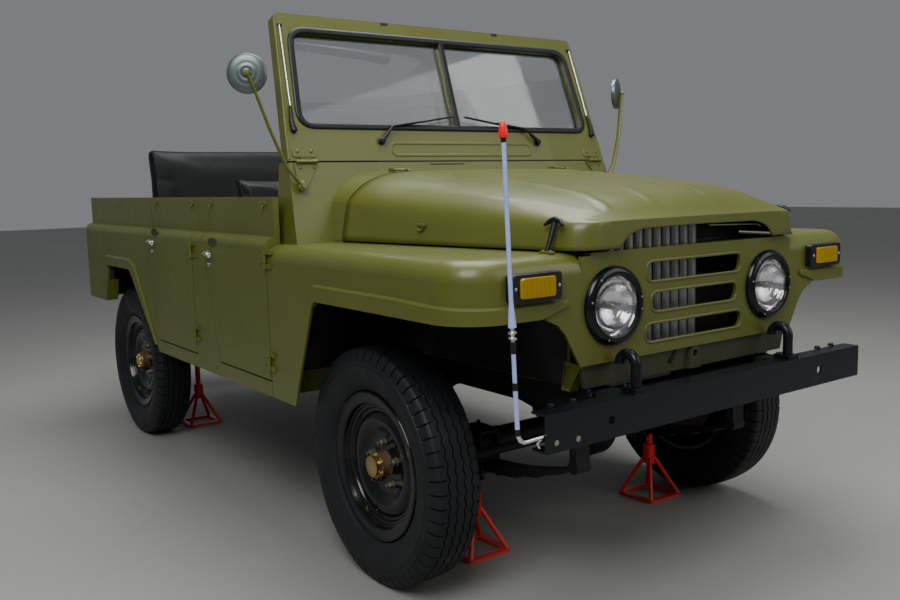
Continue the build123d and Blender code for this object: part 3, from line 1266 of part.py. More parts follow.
# Rear gate with the spare wheel's carrier
GATE_HALF = REAR_CORNER_Y - GAP
GATE_Z = (GATE_SILL_Z + GAP, SHOULDER_Z)
GATE_FRAME = 60.0
SPARE_Z = 905.0
SPARE_X = REAR_X + 22.0 + TYRE_WIDTH / 2
CARRIER_RADIUS = 60.0
spare_seat_x = SPARE_X - DISC_Y + 8 + SEAT
spare_outer_x = SPARE_X - DISC_Y - SEAT
with BuildPart() as rear_gate:
    block((REAR_BODY_X, REAR_BODY_X + REAR_WALL), (-GATE_HALF, GATE_HALF), GATE_Z)
    block(
        (REAR_BODY_X + 14, REAR_BODY_X + REAR_WALL + 1),
        (-GATE_HALF + GATE_FRAME, GATE_HALF - GATE_FRAME),
        (GATE_Z[0] + GATE_FRAME, GATE_Z[1] - GATE_FRAME),
        mode=Mode.SUBTRACT,
    )
    for z in GATE_HINGE_Z:
        hinge_barrel(GATE_PIN_X, GATE_PIN_Y, z, GATE_LEAF_X, (GATE_PIN_Y, GATE_PIN_Y + 42))
    # Carrier drum, its foot plate, and the clamp with its wing nut
    bar((REAR_BODY_X, 0, SPARE_Z), (REAR_BODY_X - 14, 0, SPARE_Z), 2 * CARRIER_RADIUS)
    bar((REAR_BODY_X, 0, SPARE_Z), (spare_seat_x, 0, SPARE_Z), CARRIER_RADIUS)
    bar((spare_seat_x, 0, SPARE_Z), (REAR_X, 0, SPARE_Z), 12)
    bar((spare_outer_x, 0, SPARE_Z), (spare_outer_x - 10, 0, SPARE_Z), CARRIER_RADIUS)
    block((REAR_X, REAR_X + 16), (-45, 45), (SPARE_Z - 12, SPARE_Z + 12))
store(rear_gate, "rear_gate")

SPARE_PLANE = Plane(origin=(SPARE_X, 0, SPARE_Z), x_dir=(-1, 0, 0), z_dir=(0, 1, 0))
with BuildPart() as spare_tyre:
    tyre(SPARE_PLANE)
store(spare_tyre, "spare_tyre")
with BuildPart() as spare_wheel:
    rim(SPARE_PLANE)
store(spare_wheel, "spare_wheel")

# Dashboard with the steering column
COLUMN_Y = 400.0
COLUMN_FOOT = (FIREWALL_X - SEAT - 15, COLUMN_Y, 812.0)
WHEEL_CENTRE = (330.0, COLUMN_Y, 1130.0)
COLUMN_RADIUS = 22.0
COLUMN_BORE = 12.0
column_run = Vector(*WHEEL_CENTRE) - Vector(*COLUMN_FOOT)
column_way = column_run.normalized()


def column_point(back):
    """A point on the column's line, a distance down from the steering wheel's centre."""
    point = Vector(*WHEEL_CENTRE) - column_way * back
    return (point.X, point.Y, point.Z)


with BuildPart() as dashboard:
    block((COWL_REAR_X - 16 - SEAT, COWL_REAR_X - SEAT), (-754, 754), (1092, COWL_TOP - 2))
    block((COWL_REAR_X - 50, COWL_REAR_X - SEAT), (-754, 754), (1092, 1104))
    bar(COLUMN_FOOT, column_point(60), COLUMN_RADIUS)
    block((COWL_REAR_X - 14, COWL_REAR_X - 2), (COLUMN_Y - 30, COLUMN_Y + 30), (880, 1100))
    block((FIREWALL_X - SEAT - 15, FIREWALL_X - SEAT), (COLUMN_Y - 50, COLUMN_Y + 39), (760, 860))
    bar(column_point(170), column_point(50), COLUMN_BORE, mode=Mode.SUBTRACT)
store(dashboard, "dashboard")

STEER_RADIUS = 200.0
STEER_ROD = 11.0
STEER_DISH = 34.0
wheel_face = Plane(origin=WHEEL_CENTRE, x_dir=(0, 1, 0), z_dir=(column_way.X, column_way.Y, column_way.Z))
with BuildPart() as steering_wheel:
    hub_top = column_point(-6)
    bar(column_point(54), hub_top, 30)
    bar(column_point(160), column_point(54), COLUMN_BORE - PIN_CLEARANCE)
    across = Plane(origin=WHEEL_CENTRE, x_dir=wheel_face.x_dir, z_dir=wheel_face.y_dir)
    with BuildSketch(across) as section:
        with Locations((STEER_RADIUS, 0)):
            Circle(STEER_ROD)
    revolve(section.sketch, axis=Axis(wheel_face.origin, wheel_face.z_dir))
    for degrees_round in (90, 210, 330):
        angle = radians(degrees_round)
        spoke_end = wheel_face.from_local_coords((STEER_RADIUS * cos(angle), STEER_RADIUS * sin(angle), 0))
        bar(column_point(STEER_DISH), (spoke_end.X, spoke_end.Y, spoke_end.Z), 7)
store(steering_wheel, "steering_wheel")

# Seats
floor_top = FLOOR_Z + FLOOR_SHEET + SEAT
SEAT_Y = (240.0, 690.0)
# columns: x, z of a front seat's side, from its foot at the back
FRONT_SEAT = [
    (90.0, floor_top),
    (490.0, floor_top),
    (490.0, 770.0),
    (525.0, 785.0),
    (528.0, 880.0),
    (500.0, 902.0),
    (140.0, 880.0),
    (24.0, 1292.0),
    (-8.0, 1304.0),
    (-62.0, 1300.0),
    (-72.0, 1280.0),
    (30.0, 850.0),
    (60.0, 775.0),
    (90.0, 765.0),
]
with BuildPart() as front_seats:
    prism(side_plane(SEAT_Y[1]), FRONT_SEAT, SEAT_Y[1] - SEAT_Y[0])
    mirror(about=Plane.XZ)
store(front_seats, "front_seats")

BENCH_HALF = BOX_HALF - BOX_SHEET - SEAT
BENCH_BACK_HALF = 700.0
# columns: x, z of the bench's cushion and of its back
BENCH_CUSHION = [
    (-1000.0, REAR_FLOOR_Z + FLOOR_SHEET + SEAT),
    (-520.0, REAR_FLOOR_Z + FLOOR_SHEET + SEAT),
    (-498.0, 810.0),
    (-500.0, 920.0),
    (-530.0, 940.0),
    (-980.0, 915.0),
]
BENCH_BACK = [
    (-1060.0, BOX_TOP + SEAT),
    (-950.0, BOX_TOP + SEAT),
    (-1030.0, 1462.0),
    (-1056.0, 1476.0),
    (-1110.0, 1474.0),
    (-1126.0, 1452.0),
]
with BuildPart() as rear_bench:
    prism(side_plane(BENCH_HALF), BENCH_CUSHION, 2 * BENCH_HALF)
    prism(side_plane(BENCH_BACK_HALF), BENCH_BACK, 2 * BENCH_BACK_HALF)
store(rear_bench, "rear_bench")

# Round mirrors on bowed arms from the cowl
MIRROR_RADIUS = 68.0
MIRROR_CENTRE = (650.0, 885.0, 1620.0)
MIRROR_TURN = 31.0
ARM_RADIUS = 7.0
# columns: x, y, z along the arm from its bolt
MIRROR_ARM = [
    (730.0, 738.0, 1238.0),
    (716.0, 804.0, 1320.0),
    (702.0, 838.0, 1430.0),
    (676.0, 876.0, 1570.0),
    (664.0, 884.0, 1620.0),
]
with BuildPart() as mirrors:
    for start, end in zip(MIRROR_ARM, MIRROR_ARM[1:]):
        bar(start, end, ARM_RADIUS)
    for joint_point in MIRROR_ARM[1:-1]:
        with Locations(joint_point):
            Sphere(ARM_RADIUS)
    bolt_y, bolt_z = MIRROR_ARM[0][1:]
    bolt_plane = Plane(origin=(cowl_face_x(bolt_z) + 5.6, bolt_y, bolt_z), z_dir=SCREEN_NORMAL)
    with BuildSketch(bolt_plane) as boss:
        Circle(15)
    extrude(boss.sketch, amount=20)
    facing = Vector(cos(radians(MIRROR_TURN)), sin(radians(MIRROR_TURN)), 0)
    rear_face = Vector(*MIRROR_CENTRE) - facing * 8
    front_face = Vector(*MIRROR_CENTRE) + facing * 14
    middle = Vector(*MIRROR_CENTRE) + facing * 4
    bar((rear_face.X, rear_face.Y, rear_face.Z), (middle.X, middle.Y, middle.Z), MIRROR_RADIUS)
    bar((middle.X, middle.Y, middle.Z), (front_face.X, front_face.Y, front_face.Z), MIRROR_RADIUS - 16)
    mirror(about=Plane.XZ)
store(mirrors, "mirrors")

# Marker pole at the bumper's right end
POLE_RADIUS = 5.0
POLE_X = FRONT_X - BUMPER_SHEET - SEAT - POLE_RADIUS
# columns: y, z along the bracket's rod and the pole
POLE_LINE = [(-650.0, 612.0), (-775.0, 604.0), (-792.0, 624.0), (-799.0, 760.0), (-824.0, 1376.0)]
with BuildPart() as marker_pole:
    for (y0, z0), (y1, z1) in zip(POLE_LINE, POLE_LINE[1:]):
        bar((POLE_X, y0, z0), (POLE_X, y1, z1), POLE_RADIUS)
    for y, z in POLE_LINE[1:-1]:
        with Locations((POLE_X, y, z)):
            Sphere(POLE_RADIUS)
store(marker_pole, "marker_pole")

# Four axle stands the car is parked on
STAND_FOOT = 78.0
STAND_COLLAR_Z = (130.0, 205.0)
# columns: x, y, height of the load
STANDS = [
    (FRONT_AXLE_X, -392.0, PACK_BOTTOM - CLAMP_PLATE - SEAT),
    (FRONT_AXLE_X, 480.0, AXLE_Z - AXLE_TUBE_RADIUS - SEAT),
    (REAR_AXLE_X, -480.0, AXLE_Z - AXLE_TUBE_RADIUS - SEAT),
    (REAR_AXLE_X, 480.0, AXLE_Z - AXLE_TUBE_RADIUS - SEAT),
]
with BuildPart() as axle_stands:
    for x, y, load_z in STANDS:
        bar((x, y, STAND_COLLAR_Z[0]), (x, y, STAND_COLLAR_Z[1]), 24)
        bar((x, y, STAND_COLLAR_Z[0]), (x, y, load_z - 5), 13)
        block((x - 34, x + 34), (y - 12, y + 12), (load_z - 12, load_z))
        for along in (-1, 1):
            for across_y in (-1, 1):
                foot = (x + along * STAND_FOOT, y + across_y * STAND_FOOT, 8)
                bar(foot, (x + along * 14, y + across_y * 14, STAND_COLLAR_Z[0] + 20), 8)
        with BuildSketch(Plane.XY.offset(0)) as base:
            with Locations((x, y)):
                RectangleRounded(2 * STAND_FOOT + 24, 2 * STAND_FOOT + 24, 20)
                RectangleRounded(2 * STAND_FOOT - 24, 2 * STAND_FOOT - 24, 10, mode=Mode.SUBTRACT)
        extrude(base.sketch, amount=10)
store(axle_stands, "axle_stands")
print("done")
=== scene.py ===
"""Looks for the open army 4x4 car: paint, rubber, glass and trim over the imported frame.

Metres, apart from the rows that mm() and scaled() take in millimetres. +X points forward, +Y to the car's left
and +Z up; the floor is at z = 0.
"""
import bmesh
import bpy
import json
from math import cos, exp, pi, radians, sin
from mathutils import Matrix, Vector


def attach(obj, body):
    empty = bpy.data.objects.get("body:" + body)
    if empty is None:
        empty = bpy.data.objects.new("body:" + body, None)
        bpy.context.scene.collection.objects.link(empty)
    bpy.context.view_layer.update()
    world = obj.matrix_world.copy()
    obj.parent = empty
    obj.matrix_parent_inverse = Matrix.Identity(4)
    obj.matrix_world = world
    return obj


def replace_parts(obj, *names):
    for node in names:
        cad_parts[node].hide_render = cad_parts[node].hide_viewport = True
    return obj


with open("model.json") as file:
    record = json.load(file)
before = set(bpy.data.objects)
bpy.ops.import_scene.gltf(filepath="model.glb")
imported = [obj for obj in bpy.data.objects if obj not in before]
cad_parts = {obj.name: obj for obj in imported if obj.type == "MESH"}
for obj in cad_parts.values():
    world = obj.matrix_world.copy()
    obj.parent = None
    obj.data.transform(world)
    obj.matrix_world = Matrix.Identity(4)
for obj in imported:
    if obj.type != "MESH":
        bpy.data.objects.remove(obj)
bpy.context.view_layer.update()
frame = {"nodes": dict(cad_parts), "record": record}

SIDES = (-1, 1)
FORWARD, BACKWARD, UPWARD = (1, 0, 0), (-1, 0, 0), (0, 0, 1)
# A lathe's line ends this far from its axis, which is 0.1 in rows of millimetres
TIP = 0.0001


def mm(*rows):
    """Rows of millimetres in metres."""
    return [tuple(value / 1000 for value in row) for row in rows]


# Materials
BUMP_DISTANCE = 0.0006
# The mix node's colour sockets, by number
MIX_FIRST, MIX_SECOND, MIX_RESULT = 6, 7, 2


class Look:
    """A node material in the making. An input takes a number, a colour or another node's socket."""

    def __init__(self, name):
        self.mat = bpy.data.materials.new(name)
        self.mat.use_nodes = True
        self.tree = self.mat.node_tree
        self.coords = self.node("TexCoord", "Object", {})

    def feed(self, node, inputs):
        """Sets or links a node's inputs."""
        for key, value in inputs.items():
            if isinstance(value, bpy.types.NodeSocket):
                self.tree.links.new(value, node.inputs[key])
            else:
                node.inputs[key].default_value = (*value, 1.0) if isinstance(value, tuple) else value

    def node(self, kind, output, inputs, **settings):
        """One output of a new node."""
        node = self.tree.nodes.new("ShaderNode" + kind)
        for key, value in settings.items():
            setattr(node, key, value)
        self.feed(node, inputs)
        return node.outputs[output]

    def noise(self, scale, detail=4.0):
        """Noise read at the object's own coordinates."""
        return self.node(
            "TexNoise", "Fac", {"Scale": scale, "Detail": detail, "Roughness": 0.55, "Vector": self.coords})

    def remap(self, value, low, high, to_low, to_high):
        """A value clamped and remapped from one range to another."""
        inputs = {"From Min": low, "From Max": high, "To Min": to_low, "To Max": to_high, "Value": value}
        return self.node("MapRange", "Result", inputs)

    def mix(self, factor, first, second):
        """Two colours mixed by a factor."""
        inputs = {"Factor": factor, MIX_FIRST: first, MIX_SECOND: second}
        return self.node("Mix", MIX_RESULT, inputs, data_type="RGBA")

    def finished(self, **inputs):
        """The material, its shader fed."""
        names = {key.replace("_", " "): value for key, value in inputs.items()}
        self.feed(self.tree.nodes["Principled BSDF"], names)
        return self.mat


def surface(name, colour, shade, roughness, spread=0.08, metallic=0.0, patch=2.5, grain=180.0,
            relief=0.06, dust=None, dust_top=0.5, coat=0.0, shine=0.5):
    """A surface whose colour drifts in soft patches, with grain, optional dust near the floor, and bump."""
    look = Look(name)
    tone = look.mix(look.remap(look.noise(patch), 0.35, 0.65, 0.0, 1.0), colour, shade)
    fine = look.noise(grain, detail=2.0)
    if dust is not None:
        height = look.node("SeparateXYZ", "Z", {"Vector": look.coords})
        low = look.remap(height, 0.0, dust_top, 0.55, 0.0)
        specks = look.remap(look.noise(9.0), 0.35, 0.7, 0.2, 1.0)
        tone = look.mix(look.node("Math", "Value", {0: low, 1: specks}, operation="MULTIPLY"), tone, dust)
    rough = look.remap(look.noise(14.0), 0.3, 0.7, roughness - spread, roughness + spread)
    bump = look.node("Bump", "Normal", {"Strength": relief, "Distance": BUMP_DISTANCE, "Height": fine})
    return look.finished(
        Base_Color=tone, Roughness=rough, Metallic=metallic, Coat_Weight=coat, Specular_IOR_Level=shine, Normal=bump)


def glass(name, tint, roughness, alpha):
    """Clear glass that the light passes."""
    look = Look(name)
    smear = look.remap(look.noise(6.0), 0.3, 0.75, roughness, roughness + 0.05)
    return look.finished(Roughness=smear, Base_Color=tint, Transmission_Weight=1.0, IOR=1.45, Alpha=alpha)


OLIVE = surface(
    "olive_paint", (0.099, 0.109, 0.013), (0.087, 0.097, 0.011), 0.4, 0.05, grain=420.0, relief=0.05,
    dust=(0.13, 0.125, 0.07), dust_top=0.7, coat=0.15)
BLACK = surface(
    "black_paint", (0.0035, 0.005, 0.0085), (0.005, 0.0062, 0.009), 0.32, 0.08, grain=300.0, relief=0.08,
    dust=(0.014, 0.014, 0.013), dust_top=0.55, shine=0.28)
CHASSIS = surface("chassis_black", (0.007, 0.007, 0.008), (0.012, 0.012, 0.011), 0.6, 0.12, grain=120.0,
                  relief=0.15, dust=(0.024, 0.022, 0.018), dust_top=0.7, shine=0.3)
RUBBER = surface(
    "tyre_rubber", (0.0065, 0.0085, 0.011), (0.0095, 0.0105, 0.012), 0.55, 0.1, grain=260.0, relief=0.12,
    dust=(0.02, 0.02, 0.019), dust_top=0.5, shine=0.3)
TRIM = surface("black_rubber_trim", (0.006, 0.007, 0.008), (0.009, 0.009, 0.01), 0.4, 0.08, grain=300.0, shine=0.35)
RIM = surface(
    "wheel_black", (0.0025, 0.0035, 0.0055), (0.004, 0.0045, 0.0065), 0.2, 0.06, grain=200.0, relief=0.04,
    dust=(0.0075, 0.0075, 0.0075), dust_top=0.7, coat=0.15, shine=0.28)
CAST = surface("cast_iron", (0.055, 0.05, 0.045), (0.085, 0.07, 0.055), 0.7, 0.12, grain=90.0, relief=0.4)
STEEL = surface("zinc_steel", (0.45, 0.44, 0.41), (0.33, 0.31, 0.27), 0.35, 0.12, metallic=1.0, grain=200.0)
CHROME = surface("chrome", (0.82, 0.82, 0.83), (0.74, 0.74, 0.75), 0.09, 0.05, metallic=1.0, grain=60.0,
                 relief=0.02)
BRASS = surface("brass", (0.55, 0.42, 0.16), (0.38, 0.29, 0.13), 0.32, 0.12, metallic=1.0, grain=160.0)
RUST = surface("rusty_iron", (0.16, 0.075, 0.035), (0.09, 0.055, 0.035), 0.75, 0.1, metallic=0.4, grain=110.0,
               relief=0.4, patch=30.0)
RED = surface(
    "red_paint", (0.9, 0.014, 0.01), (0.78, 0.011, 0.008), 0.35, 0.08, grain=200.0, dust=(0.25, 0.1, 0.08),
    dust_top=0.15)
VINYL = surface(
    "seat_vinyl", (0.0045, 0.006, 0.006), (0.0065, 0.008, 0.0075), 0.5, 0.08, grain=380.0, relief=0.25,
    patch=8.0, shine=0.22)
PLATED = surface("dull_plating", (0.2, 0.185, 0.13), (0.13, 0.12, 0.09), 0.48, 0.1, metallic=0.8, grain=160.0)
# Olive paint darkened with painted shade, for the valance and the door dimples
SHADE = surface("olive_painted_shade", (0.036, 0.038, 0.016), (0.03, 0.032, 0.014), 0.55, 0.08, grain=300.0)
SLAT = surface(
    "shutter_grey", (0.36, 0.35, 0.33), (0.26, 0.27, 0.28), 0.36, 0.1, metallic=0.6, grain=150.0,
    relief=0.15)
CORE = surface(
    "radiator_core", (0.008, 0.008, 0.009), (0.02, 0.018, 0.016), 0.7, 0.1, grain=500.0, relief=0.5)
DULL = surface("dull_aluminium", (0.17, 0.19, 0.19), (0.12, 0.14, 0.14), 0.34, 0.08, metallic=0.7, grain=150.0)
# White plastic coloured pale blue: the blue is painted shade over the white
PALE = surface("white_plastic_painted_blue_shade", (0.34, 0.43, 0.78), (0.46, 0.52, 0.78), 0.28, 0.08, grain=90.0, patch=7.0)
PANE = glass("windshield_glass", (0.86, 0.92, 0.9), 0.01, 0.55)
LAMP = glass("lamp_glass", (0.95, 0.96, 0.97), 0.02, 0.6)
SIGNAL = surface("amber_lens", (0.36, 0.22, 0.006), (0.29, 0.18, 0.005), 0.16, 0.05, grain=80.0)

# The CAD's nodes take the material of their slot, or their own
SLOT_MATERIALS = {
    "black_paint": CHASSIS, "black_plastic": TRIM, "cast_iron": CAST, "glass": PANE, "lamp": LAMP,
    "olive_paint": OLIVE, "radiator": CORE, "red_paint": RED, "seat_cover": VINYL, "signal": SIGNAL, "tyre": RUBBER,
}
# The valance takes the olive with painted shade
OWN_MATERIALS = {"front_bumper": BLACK, "marker_pole": CHROME, "shutters": SLAT, "valance": SHADE}
for part in frame["record"]["subparts"]:
    name = part["node"]
    chosen = OWN_MATERIALS.get(name) or SLOT_MATERIALS[part["material_slot"]]
    if name.startswith("wheel_") or name == "spare_wheel":
        chosen = RIM
    node = frame["nodes"][name]
    node.data.materials.clear()
    node.data.materials.append(chosen)

# The slot of each material that the pieces are made of; the bare metals are cast_iron
PIECE_SLOTS = {
    OLIVE: "olive_paint", SHADE: "olive_paint", BLACK: "black_paint", CHASSIS: "black_paint", RIM: "black_paint",
    RED: "red_paint", RUBBER: "tyre", TRIM: "black_plastic", VINYL: "seat_cover", CORE: "radiator", PALE: "lamp",
    LAMP: "lamp", SIGNAL: "signal",
}


# Shapes
class Shape:
    """Points and faces gathered for one piece."""

    def __init__(self):
        self.points = []
        self.faces = []

    def add(self, points, faces):
        first = len(self.points)
        self.points += [Vector(p) for p in points]
        self.faces += [tuple(first + i for i in face) for face in faces]

    def rows(self, rows, ring=False, loop=False, caps=False):
        """Quads between rows of points; ring closes each row, loop joins the last row to the first."""
        width = len(rows[0])
        faces = []
        for i in range(len(rows) if loop else len(rows) - 1):
            j = (i + 1) % len(rows)
            for k in range(width if ring else width - 1):
                m = (k + 1) % width
                faces.append((i * width + k, i * width + m, j * width + m, j * width + k))
        if caps:
            faces.append(tuple(reversed(range(width))))
            faces.append(tuple((len(rows) - 1) * width + k for k in range(width)))
        self.add([p for row in rows for p in row], faces)

    def lathe(self, profile, centre, axis, segments=48, closed=False):
        """A profile of (distance along the axis, radius) turned about the axis."""
        axis = Vector(axis).normalized()
        side, up = cross_axes(axis)
        rows = []
        for k in range(segments):
            angle = 2 * pi * k / segments
            way = side * cos(angle) + up * sin(angle)
            rows.append([Vector(centre) + axis * along + way * radius for along, radius in profile])
        self.rows(rows, ring=closed, loop=True)

    def tube(self, points, radius, sides=12, flat=1.0, caps=True):
        """A tube through points, mitred at its corners; flat squeezes the section's height."""
        points = [Vector(p) for p in points]
        radii = radius if isinstance(radius, (list, tuple)) else [radius] * len(points)
        way = (points[1] - points[0]).normalized()
        side, up = cross_axes(way)
        rows = []
        for k, point in enumerate(points):
            before = (point - points[k - 1]).normalized() if k else way
            after = (points[k + 1] - point).normalized() if k + 1 < len(points) else before
            along = (before + after).normalized()
            side = (side - along * side.dot(along)).normalized()
            up = along.cross(side)
            rows.append([
                point + side * radii[k] * cos(2 * pi * s / sides) + up * radii[k] * flat * sin(2 * pi * s / sides)
                for s in range(sides)
            ])
        self.rows(rows, ring=True, caps=caps)

    def box(self, low, high, edge=0.002, turn=None):
        """A block with bevelled edges, turned by a matrix if one is given."""
        low, high = Vector(low), Vector(high)
        middle, half = (low + high) / 2, (high - low) / 2
        mesh = bmesh.new()
        bmesh.ops.create_cube(mesh, size=2.0, matrix=Matrix.Diagonal((*half, 1.0)))
        bmesh.ops.bevel(mesh, geom=mesh.edges[:], offset=min(edge, *half), segments=2, affect="EDGES", profile=0.6)
        mesh.verts.index_update()
        place = Matrix.Translation(middle) @ (turn or Matrix()).to_4x4()
        self.add([place @ v.co for v in mesh.verts], [[v.index for v in face.verts] for face in mesh.faces])
        mesh.free()

    def bolt(self, centre, axis, radius=0.008, height=0.006, sides=6, washer=True):
        """A bolt head with a rounded top on its washer."""
        axis = Vector(axis).normalized()
        if washer:
            rim = radius * 1.35
            self.lathe(
                [(0, rim * 0.6), (0, rim), (0.0014, rim), (0.0018, rim * 0.96), (0.0018, radius * 0.8)], centre,
                axis, 20)
        profile = [(0, radius), (height * 0.85, radius), (height, radius * 0.88), (height * 1.02, TIP)]
        self.lathe(profile, centre, axis, sides)

    def screw(self, centre, axis, radius=0.006):
        """A domed round-head screw."""
        profile = [(0, radius), (radius * 0.25, radius), (radius * 0.5, radius * 0.72), (radius * 0.6, TIP)]
        self.lathe(profile, centre, axis, 16)

    def piece(self, name, mat, body="chassis", finish=None, sharp=40.0):
        """The finished object, riding on its body."""
        mesh = bpy.data.meshes.new(name)
        mesh.from_pydata(self.points, [], self.faces)
        mesh.validate()
        fixed = bmesh.new()
        fixed.from_mesh(mesh)
        bmesh.ops.remove_doubles(fixed, verts=fixed.verts[:], dist=1e-6)
        bmesh.ops.recalc_face_normals(fixed, faces=fixed.faces[:])
        fixed.to_mesh(mesh)
        fixed.free()
        mesh.shade_smooth()
        mesh.set_sharp_from_angle(angle=radians(sharp))
        mesh.materials.append(mat)
        obj = placed(name, mesh)
        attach(obj, body)
        finish = finish or PIECE_SLOTS.get(mat, "cast_iron")
        return obj


def shapes(count):
    """Empty shapes."""
    return [Shape() for _ in range(count)]


def placed(name, data):
    """An object of the scene."""
    obj = bpy.data.objects.new(name, data)
    bpy.context.scene.collection.objects.link(obj)
    return obj


def on_side(side, points):
    """Points drawn on the car's left, carried to one side."""
    return [Vector((x, side * y, z)) for x, y, z in points]


def shifted(origin, *steps):
    """Points at steps from an origin."""
    return [origin + Vector(step) for step in steps]


def scaled(radius, *line):
    """A lathe's line from distances in millimetres and shares of one radius."""
    return [(along / 1000, radius * share) for along, share in line]


def cross_axes(axis):
    """Two directions square to an axis and to each other."""
    helper = Vector((0, 0, 1)) if abs(axis.z) < 0.9 else Vector((1, 0, 0))
    side = helper.cross(axis).normalized()
    return side, axis.cross(side)


# Tyres, rims and hubs. Their sections run outboard from the wheel's middle plane, with the radius second
TREAD_PITCHES = 56
GROOVES = (-0.0405, -0.014, 0.014, 0.0405)
GROOVE_HALF = 0.0026
GROOVE_DEPTH = 0.008
ZIGZAG = 0.003
SLOT_CUT = (0.0045, 0.0055)
CROWN_RADIUS = 0.374
CROWN_HALF = 0.062
# columns: share of one pitch, share of the zigzag, 1 where the shoulder's slot is cut
PITCH_COLUMNS = [(0.0, 1.0, 0), (0.02, 1.0, 1), (0.12, 1.0, 1), (0.14, 1.0, 0), (0.57, -1.0, 0)]
# columns: outboard offset, radius, from the bead to the tread's edge
TYRE_WALL = mm(
    (51.7, 203.5), (51.7, 232), (56.5, 236.5), (62, 239), (64, 243), (65.5, 244), (70, 252), (79, 270), (84.5, 285),
    (86.8, 298), (87.2, 309), (87.8, 310.5), (87.8, 313.5), (86.8, 315), (85.8, 328), (86.2, 329.5), (85.6, 333),
    (83.8, 334.5), (81.5, 344), (79, 350.5), (76.5, 358), (72, 366), (66, 370.5))
SLOT_FROM_RADIUS = 0.343
SLOT_FROM_OFFSET = 0.066
BLOCK_MIDDLE = 0.0135
# columns: place, centre, side
ROAD_WHEELS = [
    (f"{end}_{name}", Vector((x, side * 0.72, CROWN_RADIUS)), side)
    for end, x in (("front", 1.212), ("rear", -1.088)) for name, side in (("right", -1), ("left", 1))]


def crown(y):
    """The tread's radius at an offset from the middle plane."""
    return CROWN_RADIUS - 0.003 * (y / CROWN_HALF) ** 2


def tread_line():
    """Points across the tread as (offset, radius, whether the zigzag moves it, whether a slot cuts it)."""
    line = [(-0.062, crown(0.062), 0, 1), (-0.054, crown(0.054), 0, 1)]
    for centre in GROOVES:
        top = crown(centre)
        line.append((centre - GROOVE_HALF, top, 1, 0))
        line.append((centre - GROOVE_HALF * 0.6, top - GROOVE_DEPTH, 1, 0))
        line.append((centre + GROOVE_HALF * 0.6, top - GROOVE_DEPTH, 1, 0))
        line.append((centre + GROOVE_HALF, top, 1, 0))
        line.append((centre + BLOCK_MIDDLE, crown(centre + BLOCK_MIDDLE), 0, 0))
    return line + [(0.062, crown(0.062), 0, 1)]


def tyre_shape():
    """A ribbed road tyre about the Y axis, with slotted shoulders and ringed walls."""
    wall = [(y, r, 0, 1 if r > SLOT_FROM_RADIUS else 0) for y, r in TYRE_WALL]
    line = [(-y, r, move, cut) for y, r, move, cut in wall] + tread_line() + list(reversed(wall))
    rows = []
    for pitch in range(TREAD_PITCHES):
        for share, zig, slot in PITCH_COLUMNS:
            angle = 2 * pi * (pitch + share) / TREAD_PITCHES
            row = []
            for y, r, move, cut in line:
                side = 1 if y > 0 else -1
                across = y + zig * ZIGZAG * move - side * SLOT_CUT[0] * slot * cut * (abs(y) > SLOT_FROM_OFFSET)
                radius = r - SLOT_CUT[1] * slot * cut
                row.append(Vector((radius * cos(angle), across, radius * sin(angle))))
            rows.append(row)
    shape = Shape()
    shape.rows(rows, ring=True, loop=True)
    return shape


# columns: outboard offset, radius, round the rim and its pressed disc
RIM_LINE = mm(
    (64.5, 230), (64, 233), (61.5, 234.5), (58.5, 233), (56, 229), (55, 208), (53, 203.5), (30, 201), (26, 196),
    (20, 188), (-10, 187), (-30, 199), (-53, 203.5), (-55, 208), (-56, 229), (-58.5, 233), (-61.5, 234.5),
    (-64, 233), (-64.5, 230), (-62, 210), (-56, 199.5), (-30, 195), (-12, 183), (18, 183), (16, 170), (20, 156),
    (25, 140), (22, 124), (12, 108), (9, 95), (9, 42), (15, 40), (18, 43), (18, 90), (20, 99), (25, 108), (33, 122),
    (36.8, 134), (37.2, 144), (35, 154), (30, 163), (26, 168), (26.2, 175), (30, 179), (34, 180.5), (35, 185),
    (37.5, 188.5), (42, 190), (43.5, 194), (50, 196.5), (56, 198.5), (59, 204), (60, 220), (62, 227))
STUD_RING = 0.06985
HUB_BARREL = mm((10, 44), (19, 44), (20, 40), (30, 37.5), (42, 36.5), (44, 40), (50, 40.5), (51, 38), (51, 25))
FRONT_CAP = mm(
    (51, 30), (51, 34.5), (56, 35), (57, 31), (64, 30.5), (65, 33.5), (70, 33), (71.5, 29), (73.5, 23), (74.2, 15),
    (74.2, 0.1))
REAR_CAP = mm((51, 36), (56, 36), (59, 34), (60, 22), (68, 20), (70, 18), (70, 0.1))


